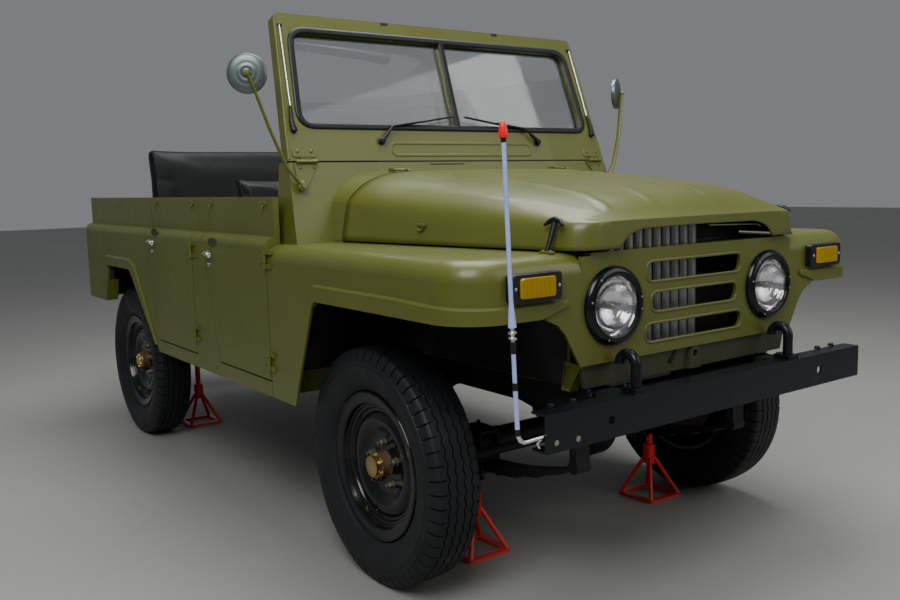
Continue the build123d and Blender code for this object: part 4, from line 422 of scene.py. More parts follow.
def wheel_pieces(name, body, centre, out, hub):
    """The rim, nuts and hub of one wheel; out is the way outboard."""
    shape = Shape()
    shape.lathe(RIM_LINE, centre, out, 96, closed=True)
    rim = shape.piece(f"rim_{name}", RIM, body, sharp=28)
    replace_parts(rim, "spare_wheel" if name == "spare" else f"wheel_{name}")
    nuts = Shape()
    spokes = [pi / 2 + 2 * pi * k / 5 for k in range(5)]
    up = Vector((0, 0, 1))
    across = up.cross(out)
    for angle in spokes:
        place = centre + (across * cos(angle) + up * sin(angle)) * STUD_RING + out * 0.018
        nuts.lathe(
            mm((0, 15), (3, 15), (4, 12.5), (16, 12), (18.5, 9), (18.5, 7.2), (26, 6.8), (27.5, 4), (27.8, 0.1)),
            place, out, 6 if hub else 12)
    nuts.piece(f"wheel_nuts_{name}", PLATED, body, sharp=30)
    valve = Shape()
    foot = centre - across * 0.06 - up * 0.17 + out * 0.03
    valve.tube(
        [foot, foot + out * 0.012, foot + out * 0.022 + up * 0.01, foot + out * 0.026 + up * 0.024], 0.0036, 10)
    valve.piece(f"valve_{name}", BRASS, body)
    if not hub:
        return
    barrel = Shape()
    barrel.lathe(HUB_BARREL, centre, out, 48)
    barrel.piece(f"hub_{name}", RUST, body, sharp=30)
    cap = Shape()
    cap.lathe(FRONT_CAP if hub == "front" else REAR_CAP, centre, out, 48)
    bolt_ring, bolt_out = (0.0345, 0.0505) if hub == "front" else (0.029, 0.0595)
    for k in range(6):
        angle = 2 * pi * (k + 0.5) / 6
        way = across * cos(angle) + up * sin(angle)
        cap.bolt(centre + way * bolt_ring * (1.0 if hub == "front" else 0.95) + out * bolt_out, out, 0.0062, 0.0075)
    if hub == "front":
        for k in range(6):
            angle = 2 * pi * k / 6
            way = across * cos(angle) + up * sin(angle)
            cap.screw(centre + way * 0.0265 + out * 0.0712, out, 0.0035)
    cap.piece(f"hub_cap_{name}", BRASS, body, sharp=30)


TYRE = tyre_shape()
for place, centre, side in ROAD_WHEELS:
    body = f"{place}_wheel"
    copy = Shape()
    copy.add([p + centre for p in TYRE.points], TYRE.faces)
    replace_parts(copy.piece(f"road_tyre_{place}", RUBBER, body, sharp=32), f"tyre_{place}")
    wheel_pieces(place, body, centre, Vector((0, side, 0)), "front" if place.startswith("front") else "rear")

SPARE_CENTRE = Vector((-1.82, 0.0, 0.905))
spare = Shape()
spare.add([SPARE_CENTRE + Vector((p.y, p.x, p.z)) for p in TYRE.points], TYRE.faces)
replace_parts(spare.piece("spare_road_tyre", RUBBER, "rear_gate", sharp=32), "spare_tyre")
wheel_pieces("spare", "rear_gate", SPARE_CENTRE, Vector((-1, 0, 0)), None)

# Hood: a smooth pressed skin with four flutes and the cut-out over the radiator
HOOD_FOOT_Z = 1.051
HOOD_REAR = 0.818
HOOD_NOSE = 1.838
HOOD_CORNER = 0.085
# columns: x, half width of the foot
HOOD_FOOT = mm((700, 655), (1842, 493.4))
# columns: x, height of the crown
HOOD_CROWN = mm(
    (690, 1296), (900, 1286), (1100, 1272), (1377, 1251), (1524, 1237), (1640, 1221), (1700, 1205), (1745, 1187),
    (1785, 1163), (1815, 1142), (1838, 1128))
# columns: x, height of the side's top, how far it leans in from the foot, how softly the side turns into the top
HOOD_SIDE = mm((700, 1187, 27, 80), (1170, 1158, 21, 95), (1640, 1126, 14, 94.5), (1838, 1126.5, 10, 90))
# columns: distance from the middle, height of the cut-out's edge
HOOD_MOUTH = mm(
    (0, 1103.5), (245, 1101.5), (268, 1098.5), (290, 1093), (312, 1084), (328, 1073), (338.5, 1061), (344, 1051))
FLUTE_HALF = 0.017
FLUTE_RISE = 0.0045
# columns: x, then the flute's distance from the middle, for the inner and the outer pair
FLUTE_PATH = mm((760, 120, 290), (1200, 130, 315), (1640, 142, 332), (1800, 145, 338))
FLUTE_START = 0.85
FLUTE_END = 1.8
COLLAR_FRONT = 0.812


def along(table, x, column=1):
    """A value read between the rows of a table."""
    if x <= table[0][0]:
        return table[0][column]
    for first, second in zip(table, table[1:]):
        if x <= second[0]:
            share = (x - first[0]) / (second[0] - first[0])
            return first[column] + (second[column] - first[column]) * share
    return table[-1][column]


def smooth_step(value):
    """0 to 1 with soft ends."""
    value = min(1.0, max(0.0, value))
    return value * value * (3 - 2 * value)


def smooth_along(table, x):
    """A value read on a smooth curve through the rows of a table."""
    k = 0
    while k < len(table) - 2 and x > table[k + 1][0]:
        k += 1
    (x0, y0), (x1, y1) = table[k], table[k + 1]
    before = table[k - 1] if k else (2 * x0 - x1, 2 * y0 - y1)
    after = table[k + 2] if k + 2 < len(table) else (2 * x1 - x0, 2 * y1 - y0)
    slope0 = (y1 - before[1]) / (x1 - before[0])
    slope1 = (after[1] - y0) / (after[0] - x0)
    t = min(1.0, max(0.0, (x - x0) / (x1 - x0)))
    span = x1 - x0
    return ((2 * t**3 - 3 * t**2 + 1) * y0 + (t**3 - 2 * t**2 + t) * span * slope0
            + (3 * t**2 - 2 * t**3) * y1 + (t**3 - t**2) * span * slope1)


def hood_half(x):
    """Half width of the hood's foot at a station."""
    start = HOOD_NOSE - HOOD_CORNER
    if x <= start:
        return along(HOOD_FOOT, x)
    return along(HOOD_FOOT, start) - HOOD_CORNER + (HOOD_CORNER**2 - min(HOOD_CORNER, x - start) ** 2) ** 0.5


def flutes(x, y):
    """How far the flutes stand above the hood's skin."""
    rise = 0.0
    fade = smooth_step((FLUTE_END - x) / 0.03) * smooth_step((x - FLUTE_START) / 0.03)
    for column in (1, 2):
        off = abs(abs(y) - along(FLUTE_PATH, x, column)) / FLUTE_HALF
        if off < 1:
            rise += FLUTE_RISE * (1 - smooth_step(off)) * fade
    return rise


def hood_section(x):
    """One half section, from the foot up over the side to the middle."""
    half = hood_half(x)
    side_z = along(HOOD_SIDE, x, 1)
    lean = along(HOOD_SIDE, x, 2)
    turn = along(HOOD_SIDE, x, 3)
    crown_z = smooth_along(HOOD_CROWN, x)
    points = [(half - lean * k / 6, HOOD_FOOT_Z + (side_z - HOOD_FOOT_Z) * k / 6) for k in range(6)]
    edge = half - lean
    for k in range(41):
        y = edge * (1 - (k / 40) ** 1.5)
        points.append((y, side_z + (crown_z - side_z) * (1 - exp((y - edge) / turn))))
    passes = int(3 + 14 * smooth_step((x - 0.75) / 0.5))
    for _ in range(passes):
        eased = [points[0]]
        for k in range(1, len(points) - 1):
            if k < 16:
                eased.append(tuple(((points[k - 1][i] + 2 * points[k][i] + points[k + 1][i]) / 4 for i in (0, 1))))
            else:
                eased.append(points[k])
        points = eased + [points[-1]]
    return points


def both_halves(row):
    """A half row joined to its mirror image across the middle."""
    return [Vector((p.x, -p.y, p.z)) for p in row] + [p.copy() for p in reversed(row[:-1])]


def hood_shape():
    """The outer skin of the hood as rows of sections, and its front face down to the cut-out's edge."""
    stations = [0.96 * (1 - (1 - k / 44) ** 1.35) for k in range(45)]
    stations += [0.96 + 0.04 * sin(pi / 2 * k / 12) for k in range(1, 13)]
    rows = []
    for share in stations:
        x = HOOD_REAR + (HOOD_NOSE - HOOD_REAR) * share
        rows.append(both_halves([Vector((x, y, z + flutes(x, y))) for y, z in hood_section(x)]))
    shape = Shape()
    shape.rows(rows)
    # The front face drops from the crease to the foot or to the cut-out's edge
    last = rows[-1]
    count = len(last)
    face = []
    for k in range(7):
        line = [last[6 - k]]
        for p in last[7:count - 7]:
            low = max(HOOD_FOOT_Z, along(HOOD_MOUTH, abs(p.y)) if abs(p.y) < 0.344 else 0.0)
            line.append(Vector((HOOD_NOSE, p.y, p.z + (low - p.z) * k / 6)))
        line.append(last[count - 7 + k])
        face.append(line)
    shape.rows(face)
    return shape


def cowl_face(z):
    """Where the cowl's raked face stands at a height."""
    return 0.686 + (1.322 - z) * 0.3211


def collar_shape():
    """The fixed collar that carries the hood's form back to the cowl's raked face."""
    rows = []
    for share in (0.0, 0.3, 0.6, 0.9, 1.0):
        row = []
        for k, (y, z) in enumerate(hood_section(0.770)):
            back = cowl_face(z) - 0.003
            x = back + (COLLAR_FRONT - back) * share
            y, z = hood_section(x)[k]
            row.append(Vector((x, y + 0.0012, z + 0.0012)))
        rows.append(both_halves(row))
    rows.append([Vector((p.x + 0.0004, p.y * 0.985, p.z - 0.01)) for p in rows[-1]])
    shape = Shape()
    shape.rows(rows)
    return shape


def add_modifier(obj, kind, **settings):
    """A modifier with its settings."""
    modifier = obj.modifiers.new(kind.lower(), kind)
    for key, value in settings.items():
        setattr(modifier, key, value)
    return modifier


hood_skin = hood_shape().piece("hood_skin", OLIVE, "hood")
add_modifier(hood_skin, "BEVEL", width=0.0035, segments=3, limit_method="ANGLE", angle_limit=radians(40))
add_modifier(hood_skin, "SOLIDIFY", thickness=0.006, offset=-1.0)
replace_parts(hood_skin, "hood")
collar_shape().piece("cowl_collar_skin", OLIVE, sharp=45)


# Windshield, measured on its own raked plane from the foot of the frame
RAKE = radians(17.8)
SCREEN_ORIGIN = Vector((0.6841, 0.0, 1.328))
SCREEN_OUT = Vector((cos(RAKE), 0.0, sin(RAKE)))
SCREEN_UP = Vector((-sin(RAKE), 0.0, cos(RAKE)))
SCREEN_DEPTH = 0.042
PANE_LOW = 0.134
PANE_HIGH = 0.492
PANE_HALF_LOW = 0.6905
PANE_HALF_HIGH = 0.6595


def on_screen(y, height, out=0.0):
    """A point on the windshield frame's front face, or out from it."""
    return SCREEN_ORIGIN + Vector((0.0, y, 0.0)) + SCREEN_UP * height + SCREEN_OUT * out


def rounded(corners, radius, steps=6):
    """Corners of a flat outline eased by a radius; each is (u, v)."""
    outline = []
    count = len(corners)
    for k in range(count):
        here = Vector(corners[k])
        back = (Vector(corners[k - 1]) - here).normalized() * radius
        ahead = (Vector(corners[(k + 1) % count]) - here).normalized() * radius
        for s in range(steps + 1):
            t = s / steps
            outline.append(here + back * (1 - t) ** 2 + ahead * t**2)
    return outline


def box_outline(low, high, radius, steps=6):
    """A rounded rectangle between two corners."""
    return rounded([(low[0], low[1]), (high[0], low[1]), (high[0], high[1]), (low[0], high[1])], radius, steps)


def upright_box(x, low, high, radius, steps=6):
    """A rounded rectangle standing across the car at x."""
    return [Vector((x, y, z)) for y, z in box_outline(low, high, radius, steps)]


def cord(shape, points, out, half, high, closed=True, sides=8):
    """A half-round bead along a path, lying on the surface that faces out."""
    points = [Vector(p) for p in points]
    out = Vector(out).normalized()
    count = len(points)
    rows = []
    for k, point in enumerate(points):
        before = points[k - 1] if closed or k else point
        after = points[(k + 1) % count] if closed or k + 1 < count else point
        across = (after - before).normalized().cross(out).normalized()
        rows.append([
            point + across * half * cos(pi * s / sides) + out * high * sin(pi * s / sides) for s in range(sides + 1)
        ])
    shape.rows(rows, ring=True, loop=closed, caps=not closed)


def rib(shape, start, end, out, half, high):
    """A straight half-round bead with two ends."""
    cord(shape, [start, end], out, half, high, closed=False)


def plate(shape, outline, out, thick, edge=0.001):
    """A plate standing on an outline, its upper edge eased."""
    outline = [Vector(p) for p in outline]
    out = Vector(out).normalized()
    centre = sum(outline, Vector((0, 0, 0))) / len(outline)
    top = [p + (centre - p).normalized() * edge + out * thick for p in outline]
    shape.rows([outline, [p + out * (thick - edge) for p in outline], top], ring=True)
    shape.add(top, [tuple(range(len(top)))])


gasket = Shape()
pane_corners = [
    (-PANE_HALF_LOW - 0.004, PANE_LOW - 0.004), (PANE_HALF_LOW + 0.004, PANE_LOW - 0.004),
    (PANE_HALF_HIGH + 0.004, PANE_HIGH + 0.004), (-PANE_HALF_HIGH - 0.004, PANE_HIGH + 0.004)]
for depth, way, bead in ((0.0, 1.0, 0.007), (-SCREEN_DEPTH, -1.0, 0.005)):
    loop = [on_screen(u, v, depth) for u, v in rounded(pane_corners, 0.062, 9)]
    cord(gasket, loop, SCREEN_OUT * way, 0.0125, bead, sides=10)
    strip = [on_screen(0.0, PANE_LOW, depth), on_screen(0.0, PANE_HIGH, depth)]
    cord(gasket, strip, SCREEN_OUT * way, 0.0125, bead, closed=False)
gasket.piece("screen_gasket", TRIM, "windshield", sharp=60)

screen_trim = Shape()
panel_loop = [on_screen(u, v) for u, v in box_outline((-0.33, 0.02), (0.35, 0.068), 0.022)]
cord(screen_trim, panel_loop, SCREEN_OUT, 0.006, 0.0028)
edge_line = [on_screen(-0.76, 0.006), on_screen(-0.7135, 0.545)]
cord(screen_trim, edge_line, SCREEN_OUT, 0.0045, 0.003, closed=False)
cord(screen_trim, [(p.x, -p.y, p.z) for p in edge_line], SCREEN_OUT, 0.0045, 0.003, closed=False)
screen_trim.piece("screen_pressings", OLIVE, "windshield", sharp=50)

# Wipers on short pivots, and their arms
WIPER_PIVOTS = mm((-372, 74), (394, 74))
# columns: y and height of the blade's outer end, the arm's end and the blade's inner end, in pivot order
WIPER_BLADES = [mm((-318, 128), (-175, 150), (-20, 176)), mm((330, 128), (190, 150), (36, 176))]
WIPER_KNEE = 0.62
CLIP_HALF = Vector((0.004, 0.006, 0.004))


def between(first, second, share):
    """A flat point part of the way from one to another."""
    return tuple(a + (b - a) * share for a, b in zip(first, second))


wipers = Shape()
for pivot, (outer, middle, inner) in zip(WIPER_PIVOTS, WIPER_BLADES):
    wipers.lathe(mm((0, 15), (4, 15), (6, 11), (18, 11), (20, 8), (20.5, 0.1)), on_screen(*pivot), SCREEN_OUT, 24)
    knee = between(pivot, outer, WIPER_KNEE)
    elbow = on_screen(*knee, 0.017)
    wipers.tube([on_screen(*pivot, 0.014), elbow], [0.0085, 0.0065], 10)
    wipers.tube([elbow, on_screen(*outer, 0.019), on_screen(*middle, 0.016)], [0.0045, 0.0042, 0.0035], 8)
    for out, radius, sides in ((0.009, 0.0034, 8), (0.003, 0.0022, 6)):
        wipers.tube([on_screen(*outer, out), on_screen(*inner, out)], radius, sides)
    for share in (0.25, 0.5, 0.75):
        spot = on_screen(*between(outer, inner, share), 0.008)
        wipers.box(spot - CLIP_HALF, spot + CLIP_HALF, 0.001)
wipers.piece("wipers", TRIM, "windshield")

# Rolled shades hung inside the top rail, small clamps for the canvas, and rods along the frame's sides
shades, hooks, rods = shapes(3)
for side in SIDES:
    ends = on_side(side, [(0.44, 0.11, 1.8), (0.44, 0.58, 1.8)])
    cap = Vector((0, side * 0.01, 0))
    for run, radius in ((ends, 0.0125), ([ends[0] - cap, ends[0]], 0.015), ([ends[1], ends[1] + cap], 0.015)):
        shades.tube(run, radius, 20)
    for end in ends:
        hooks.tube(shifted(end, (0, 0, 0), (0.004, 0, 0.02), (0.03, 0, 0.028)), 0.004, 8)
    spot = on_screen(side * 0.271 + 0.02, 0.556)
    hooks.box(*shifted(spot, (-0.03, -0.016, -0.03), (0.004, 0.016, -0.001)), 0.003)
    for y, h in ((0.7, 0.508), (0.722, 0.108)):
        hooks.lathe(mm((0, 8), (6, 8), (9, 5), (10, 0.1)), on_screen(side * y, h), SCREEN_OUT, 16)
    foot = on_screen(side * 0.72, 0.2, 0.006)
    hooks.tube([on_screen(side * 0.7225, 0.108, 0.006), on_screen(side * 0.727, 0.14, 0.007), foot],
               [0.0125, 0.0085, 0.005], 12)
    rods.tube([foot, on_screen(side * 0.702, 0.508, 0.006)], 0.003, 10)
shades.piece("rolled_shades", STEEL, "windshield")
hooks.piece("screen_clamps", TRIM, "windshield")
rods.piece("screen_rods", CHROME, "windshield")

# Hinge plates at the foot of the screen
upper_plates, lower_plates = shapes(2)
for side in SIDES:
    upper = [on_screen(side * (0.7 + u), v) for u, v in box_outline((-0.05, 0.012), (0.046, 0.052), 0.014)]
    plate(upper_plates, upper, SCREEN_OUT, 0.0035)
    for u in (-0.028, 0.026):
        upper_plates.screw(on_screen(side * (0.7 + u), 0.034, 0.0035), SCREEN_OUT, 0.0065)
    for u in (0.672, 0.726):
        lower_plates.screw(on_screen(side * u, -0.026, 0.0052), SCREEN_OUT, 0.006)
    lower_plates.lathe(mm((0, 13), (8, 13), (10, 10), (10, 4.5), (14, 4.5), (15, 0.1)),
                       on_screen(side * 0.73, -0.088, 0.004), SCREEN_OUT, 24)
upper_plates.piece("screen_hinge_plates", OLIVE, "windshield")
lower_plates.piece("cowl_hinge_screws", OLIVE)

# Pressed rims round the panel's three slots, and a thin black plate whose dark is painted shade in the valance's
# slanted slot
# columns: height of the middle, half width, half height, corner radius, all with the rim
PANEL_SLOTS = mm((975, 215, 30, 25), (886, 197, 30, 29), (797, 222, 28, 27))
slot_rims, valance_slot_painted_shade = shapes(2)
for z, half, high, radius in PANEL_SLOTS:
    cord(slot_rims, upright_box(1.8152, (-half, z - high), (half, z + high), radius, 8), FORWARD, 0.0045, 0.0026)
slot_rims.piece("panel_slot_rims", OLIVE, sharp=60)
# A thin black plate on the valance's face: painted shade where the slanted slot opens
valance_slot_painted_shade.box((1.8, -0.112, 0.7065), (1.8068, -0.068, 0.7175), 0.0008, Matrix.Rotation(radians(43), 3, "X"))
valance_slot_painted_shade.piece("valance_slot_painted_shade", TRIM)

# Rubber seal between the cowl and the screen's foot, a thin black plate whose dark is painted shade in the cowl's
# drain slot, and the hood hinges' screws
seal, drain, hinge_screws = shapes(3)
seal.box((0.64, -0.752, 1.3222), (0.679, 0.752, 1.3264), 0.0015)
seal.piece("cowl_seal", TRIM)
# A thin black plate on the cowl's face: painted shade where the drain slot opens
drain.box(on_screen(-0.17, -0.018, -0.001), on_screen(-0.01, -0.014, 0.0014), 0.0008)
drain.piece("cowl_slot_painted_shade", TRIM, sharp=35)
for side in SIDES:
    for y in (0.372, 0.4):
        hinge_screws.screw((0.842, side * y, 1.2887), (0.05, 0, 1), 0.0052)
hinge_screws.piece("hood_hinge_screws", OLIVE, "hood")

# Hood holders: a T-shaped rubber latch each side of the nose, and a small ring on each side
RING_X = 1.206
latches, latch_feet, rings = shapes(3)
for side in SIDES:
    foot = Vector((1.752, side * 0.54, 1.049))
    top = Vector((1.75, side * 0.508, 1.129))
    latches.tube([foot, foot + (top - foot) * 0.5, top], [0.006, 0.0075, 0.0085], 12)
    latches.tube(shifted(top, (-0.036, side * 0.006, -0.01), (-0.018, 0, 0.002), (0, 0, 0.006), (0.02, 0, 0.003),
                         (0.036, side * 0.006, -0.009)), [0.004, 0.0075, 0.0095, 0.0075, 0.004], 12)
    latch_feet.box(*shifted(foot, (-0.022, -0.01, -0.004), (0.022, 0.01, 0.003)), 0.0015)
    for dx in (-0.015, 0.015):
        latch_feet.screw(foot + Vector((dx, 0, 0.003)), UPWARD, 0.0045)
    place = Vector((RING_X, side * (hood_half(RING_X) - 0.01), 1.105))
    rings.box(*shifted(place, (-0.024, -0.004, 0), (0.024, 0.004, 0.01)), 0.002)
    angles = [pi * k / 8 for k in range(9)]
    rings.tube(shifted(place, *[(0.016 * cos(a), side * 0.006, -0.013 * sin(a)) for a in angles]), 0.0027, 8)
latches.piece("hood_latches", TRIM, sharp=50)
latch_feet.piece("latch_feet", OLIVE)
rings.piece("hood_rings", OLIVE, "hood")

# Headlamps: black bezel, chrome reflector and a fluted clear lens
BEZEL_LINE = mm(
    (0.5, 99), (0.5, 112), (8, 111.5), (15, 107), (19, 100), (20, 92), (18, 86), (13, 83.5), (4, 83.5), (4, 99))
REFLECTOR_LINE = mm((-48, 0.1), (-47, 15), (-42, 35), (-32, 56), (-17, 72), (4, 83.2), (4.2, 83.8))
LENS_LINE = mm((6, 83.8), (12, 83), (20, 70), (26.2, 50), (29.2, 28), (30, 0.1))
LENS_STEPS = 96
FLUTE_PITCH = 0.0125
SCREW_RING = 0.0985
bezels, reflectors, lenses, bulbs, lamp_screws = shapes(5)
for side in SIDES:
    centre = Vector((1.815, side * 0.353, 0.892))
    bezels.lathe(BEZEL_LINE, centre, FORWARD, 72, closed=True)
    reflectors.lathe(REFLECTOR_LINE, centre, FORWARD, 72)
    bulbs.lathe(mm((-46, 11), (-20, 11), (-14, 8), (-12, 0.1)), centre, FORWARD, 24)
    # The lens carries upright flutes
    rows = []
    for k in range(LENS_STEPS):
        angle = 2 * pi * k / LENS_STEPS
        row = []
        for forward, radius in LENS_LINE:
            y = radius * cos(angle)
            dent = 0.0011 * abs(sin(y * pi / FLUTE_PITCH)) if radius < 0.08 else 0.0
            row.append(centre + Vector((forward - dent, y, radius * sin(angle))))
        rows.append(row)
    lenses.rows(rows, loop=True)
    for angle in map(radians, (10, 130, 170, 250, 350)):
        spot = centre + Vector((0.0178, SCREW_RING * cos(angle), SCREW_RING * sin(angle)))
        lamp_screws.screw(spot, FORWARD, 0.0036)
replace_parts(bezels.piece("headlamp_bezels", RIM), "headlamps")
reflectors.piece("headlamp_reflectors", CHROME, sharp=60)
bulbs.piece("headlamp_bulbs", STEEL, sharp=50)
lamp_screws.piece("headlamp_screws", STEEL)
lenses.piece("headlamp_lenses", LAMP, sharp=30)

# Turn lamps on the fenders, tail lamps on the corners
TURN_X = 1.8155
TURN_Z = 0.97
# columns: millimetres outward, share of the lamp's radius
TAIL_DOME = ((14, 0.84), (24, 0.82), (25.5, 0.66), (28.5, 0.62), (29, 0.44), (31.8, 0.4), (32.5, 0.2))
turn_frames, turn_lenses, turn_screws, tail_cups, tail_lenses, amber_lenses = shapes(6)
for side in SIDES:
    y = side * 0.65
    for shape, x, half, high, radius, thick in (
        (turn_frames, TURN_X, 0.0875, 0.037, 0.012, 0.023), (turn_lenses, TURN_X + 0.02, 0.06, 0.027, 0.008, 0.01),
    ):
        outline = upright_box(x, (y - half, TURN_Z - high), (y + half, TURN_Z + high), radius)
        plate(shape, outline, FORWARD, thick, 0.004)
    for k in range(7):
        across = y - 0.045 + 0.015 * k
        line = [(TURN_X + 0.0298, across, TURN_Z + v) for v in (-0.021, 0.021)]
        cord(turn_lenses, line, FORWARD, 0.0028, 0.0014, closed=False, sides=6)
    for u in (-0.074, 0.074):
        turn_screws.screw((TURN_X + 0.0228, y + u, TURN_Z), FORWARD, 0.005)
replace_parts(turn_frames.piece("turn_lamp_frames", TRIM), "signal_lamps")
turn_lenses.piece("turn_lamp_lenses", SIGNAL)
turn_screws.piece("turn_lamp_screws", STEEL)
for side in SIDES:
    for z, radius, lens in ((0.8, 0.046, tail_lenses), (0.905, 0.04, amber_lenses)):
        centre = Vector((-1.5803, side * 0.755, z))
        tail_cups.lathe(scaled(radius, (0, 1), (20, 1), (24, 0.96), (24, 0.84), (16, 0.8)), centre, BACKWARD, 48)
        lens.lathe(scaled(radius, *TAIL_DOME) + [(0.0335, TIP)], centre, BACKWARD, 48)
        for u in (-0.7, 0.7):
            lens.screw(centre + Vector((-0.0285, radius * 0.55 * u, 0)), BACKWARD, 0.003)
tail_cups.piece("tail_lamp_cups", BLACK)
tail_lenses.piece("tail_lamp_lenses", RED, sharp=30)
amber_lenses.piece("rear_turn_lenses", SIGNAL, sharp=30)

# Mirrors: a ringed metal back, its glass, and a flat arm bolted to the hinge plate
MIRROR_WAY = radians(31)
MIRROR_BACK = mm(
    (-8.5, 60), (-8.5, 66.2), (3, 67.5), (5.5, 66.2), (9, 60), (11.5, 48), (13, 38), (12.5, 35), (14.5, 30),
    (16, 20), (15, 18), (17.5, 14), (19, 8), (19.2, 0.1))
MIRROR_GLASS = mm((-8.8, 64), (-10, 63), (-10.5, 50), (-10.8, 0.1))
MIRROR_ARM = mm(
    (733, 738, 1239), (723, 790, 1305), (708, 838, 1430), (685, 876, 1560), (676, 890, 1605), (672.5, 896, 1620))
mirror_backs, mirror_glass, mirror_arms = shapes(3)
for side in SIDES:
    facing = Vector((cos(MIRROR_WAY), side * sin(MIRROR_WAY), 0))
    centre = Vector((0.65, side * 0.885, 1.62))
    mirror_backs.lathe(MIRROR_BACK, centre, facing, 64)
    mirror_glass.lathe(MIRROR_GLASS, centre, facing, 64)
    points = on_side(side, MIRROR_ARM)
    mirror_arms.tube(points, [0.013, 0.011, 0.0105, 0.01, 0.011, 0.011], 12, flat=0.5)
    mirror_arms.lathe(mm((0, 12), (5, 12), (6, 9), (12, 8), (12.5, 0.1)), points[-1] - facing * 0.002, facing, 16)
    mirror_arms.lathe(mm((-4, 16.5), (6, 16.5), (7, 15), (7, 10), (14, 9), (14.5, 0.1)), points[0], SCREEN_OUT, 20)
mirror_backs.piece("mirror_backs", DULL)
mirror_glass.piece("mirror_glass", CHROME, finish="glass")
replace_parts(mirror_arms.piece("mirror_arms", OLIVE, sharp=50), "mirrors")

# Door furniture: a chrome lever handle, a pressed thumb dimple and small fittings on the strip
# columns: place, handle pivot x and z, strip fittings' x, hinge screws' x and the hinges' heights
DOOR_FURNITURE = [("front", 0.176, 0.988, (0.133, 0.618), 0.673, (0.997, 0.642)),
                  ("rear", -0.495, 1.008, (-0.072, -0.52), -0.029, (1.0, 0.659))]
HANDLE_LEVER = mm((-14, 16, -4), (4, 23, 5), (40, 28, 12), (78, 24, 15))
BODY_Y = 0.87
STRIP_Y = 0.833
DIMPLE_STEPS = 28
# columns: share of the dimple's size, how far the skin stands out there
DIMPLE_RINGS = ((1.0, 0.0012), (0.85, 0.0016), (0.6, 0.001), (0.3, 0.0007), (0.02, 0.0006))
for place, x, z, clips, hinge_x, hinge_heights in DOOR_FURNITURE:
    for name, side in (("right", -1), ("left", 1)):
        body = f"{place}_{name}_door"
        out = Vector((0, side, 0))
        handle, dimple, fittings = shapes(3)
        pivot = Vector((x, side * (BODY_Y - 0.0005), z))
        handle.lathe(mm((0, 16.5), (3, 16.5), (6, 13), (10, 8), (20, 7.5), (20.5, 0.1)), pivot, out, 24)
        lever = shifted(pivot, *on_side(side, HANDLE_LEVER))
        handle.tube(lever, [0.007, 0.0095, 0.0078, 0.0085], 12, flat=0.6)
        handle.lathe(mm((0, 9), (4, 8.5), (6, 5), (6.2, 0.1)), pivot - Vector((0.004, 0, 0.04)), out, 20)
        handle.piece(f"handle_{place}_{name}", CHROME, body, sharp=50)
        # The thumb dimple is a shallow dish on the skin, coloured with the olive's painted shade for the hollow
        rows = []
        for share, depth in DIMPLE_RINGS:
            angles = [2 * pi * k / DIMPLE_STEPS for k in range(DIMPLE_STEPS)]
            rows.append(on_side(side, [
                (x + 0.04 + 0.044 * share * cos(a), BODY_Y + depth - 0.0004, z + 0.047 + 0.018 * share * sin(a))
                for a in angles]))
        dimple.rows(rows, ring=True)
        dimple.piece(f"dimple_{place}_{name}", SHADE, body, sharp=60)
        for clip in clips:
            spot = Vector((clip, side * STRIP_Y, 1.176))
            inner, outer = sorted((0, side * 0.003))
            fittings.box(*shifted(spot, (-0.022, inner, 0), (0.022, outer, 0.02)), 0.001)
            for dx in (-0.013, 0.013):
                fittings.screw(spot + Vector((dx, side * 0.003, 0.01)), out, 0.0035)
            hook = on_side(side, [(0, 0.002, 0.002), (0, 0.01, -0.006), (0, 0.008, -0.018)])
            fittings.tube(shifted(spot, *hook), 0.0032, 8)
        for hinge_z in hinge_heights:
            for dz in (-0.01, 0.01):
                fittings.screw((hinge_x, side * 0.877, hinge_z + dz), out, 0.004)
        fittings.piece(f"door_fittings_{place}_{name}", OLIVE, body, sharp=50)

# Marker pole: its red tip, pale rods, white cone, spring rings and dark sleeves
POLE_X = 1.9187
POLE_TURNS = mm((-792, 624), (-799, 760), (-824, 1376))
# columns: lower height, upper height, radius below, radius above
POLE_DARK = mm((624, 641, 6.6, 6.6), (738, 757, 6.6, 6.6), (829, 858, 6.2, 7.8), (1330, 1342, 6.6, 6.6))
POLE_PALE = mm((641, 738, 6, 6), (757, 829, 5.6, 5.6), (893, 952, 10.5, 5.8), (952, 1330, 5.7, 5.7))
POLE_TIP = mm((0, 8), (1, 10.7), (6, 11.2), (16, 10.9), (26, 9.6), (34, 7.5), (38.5, 4.5), (40, 0.1))
POLE_ROD = mm((-690, 607), (-730, 606), (-770, 604.2), (-786, 611), (-792, 626))


def pole_point(z):
    """A point on the pole's middle line at a height."""
    for (y0, z0), (y1, z1) in zip(POLE_TURNS, POLE_TURNS[1:]):
        if z <= z1:
            break
    return Vector((POLE_X, y0 + (y1 - y0) * (z - z0) / (z1 - z0), z))


pole_rods, pole_sleeves, pole_tip, pole_bracket = shapes(4)
for shape, parts in ((pole_rods, POLE_PALE), (pole_sleeves, POLE_DARK)):
    for low, high, below, above in parts:
        shape.tube([pole_point(low), pole_point(high)], [below, above], 16)
pole_tip.lathe(POLE_TIP, pole_point(1.34), pole_point(1.37) - pole_point(1.34), 28)
for z, tilt in ((0.866, -0.0016), (0.88, 0.0006)):
    angles = [2 * pi * k / 20 for k in range(21)]
    ring = shifted(pole_point(z), *[(0.007 * cos(a), 0.007 * sin(a), tilt * sin(a)) for a in angles])
    pole_bracket.tube(ring, 0.0042, 10, caps=False)
pole_bracket.tube([(POLE_X, y, z) for y, z in POLE_ROD], 0.0062, 12)
pole_bracket.tube([(1.912, -0.7, 0.6), (1.912, -0.724, 0.59), (1.912, -0.716, 0.578)], 0.004, 10)
# The white rods and cone take the pale blue, a painted shade over their white
pole_rods.piece("pole_rods", PALE)
pole_sleeves.piece("pole_sleeves", TRIM)
pole_tip.piece("pole_tip", RED)
pole_bracket.piece("pole_bracket", CHROME, sharp=50)

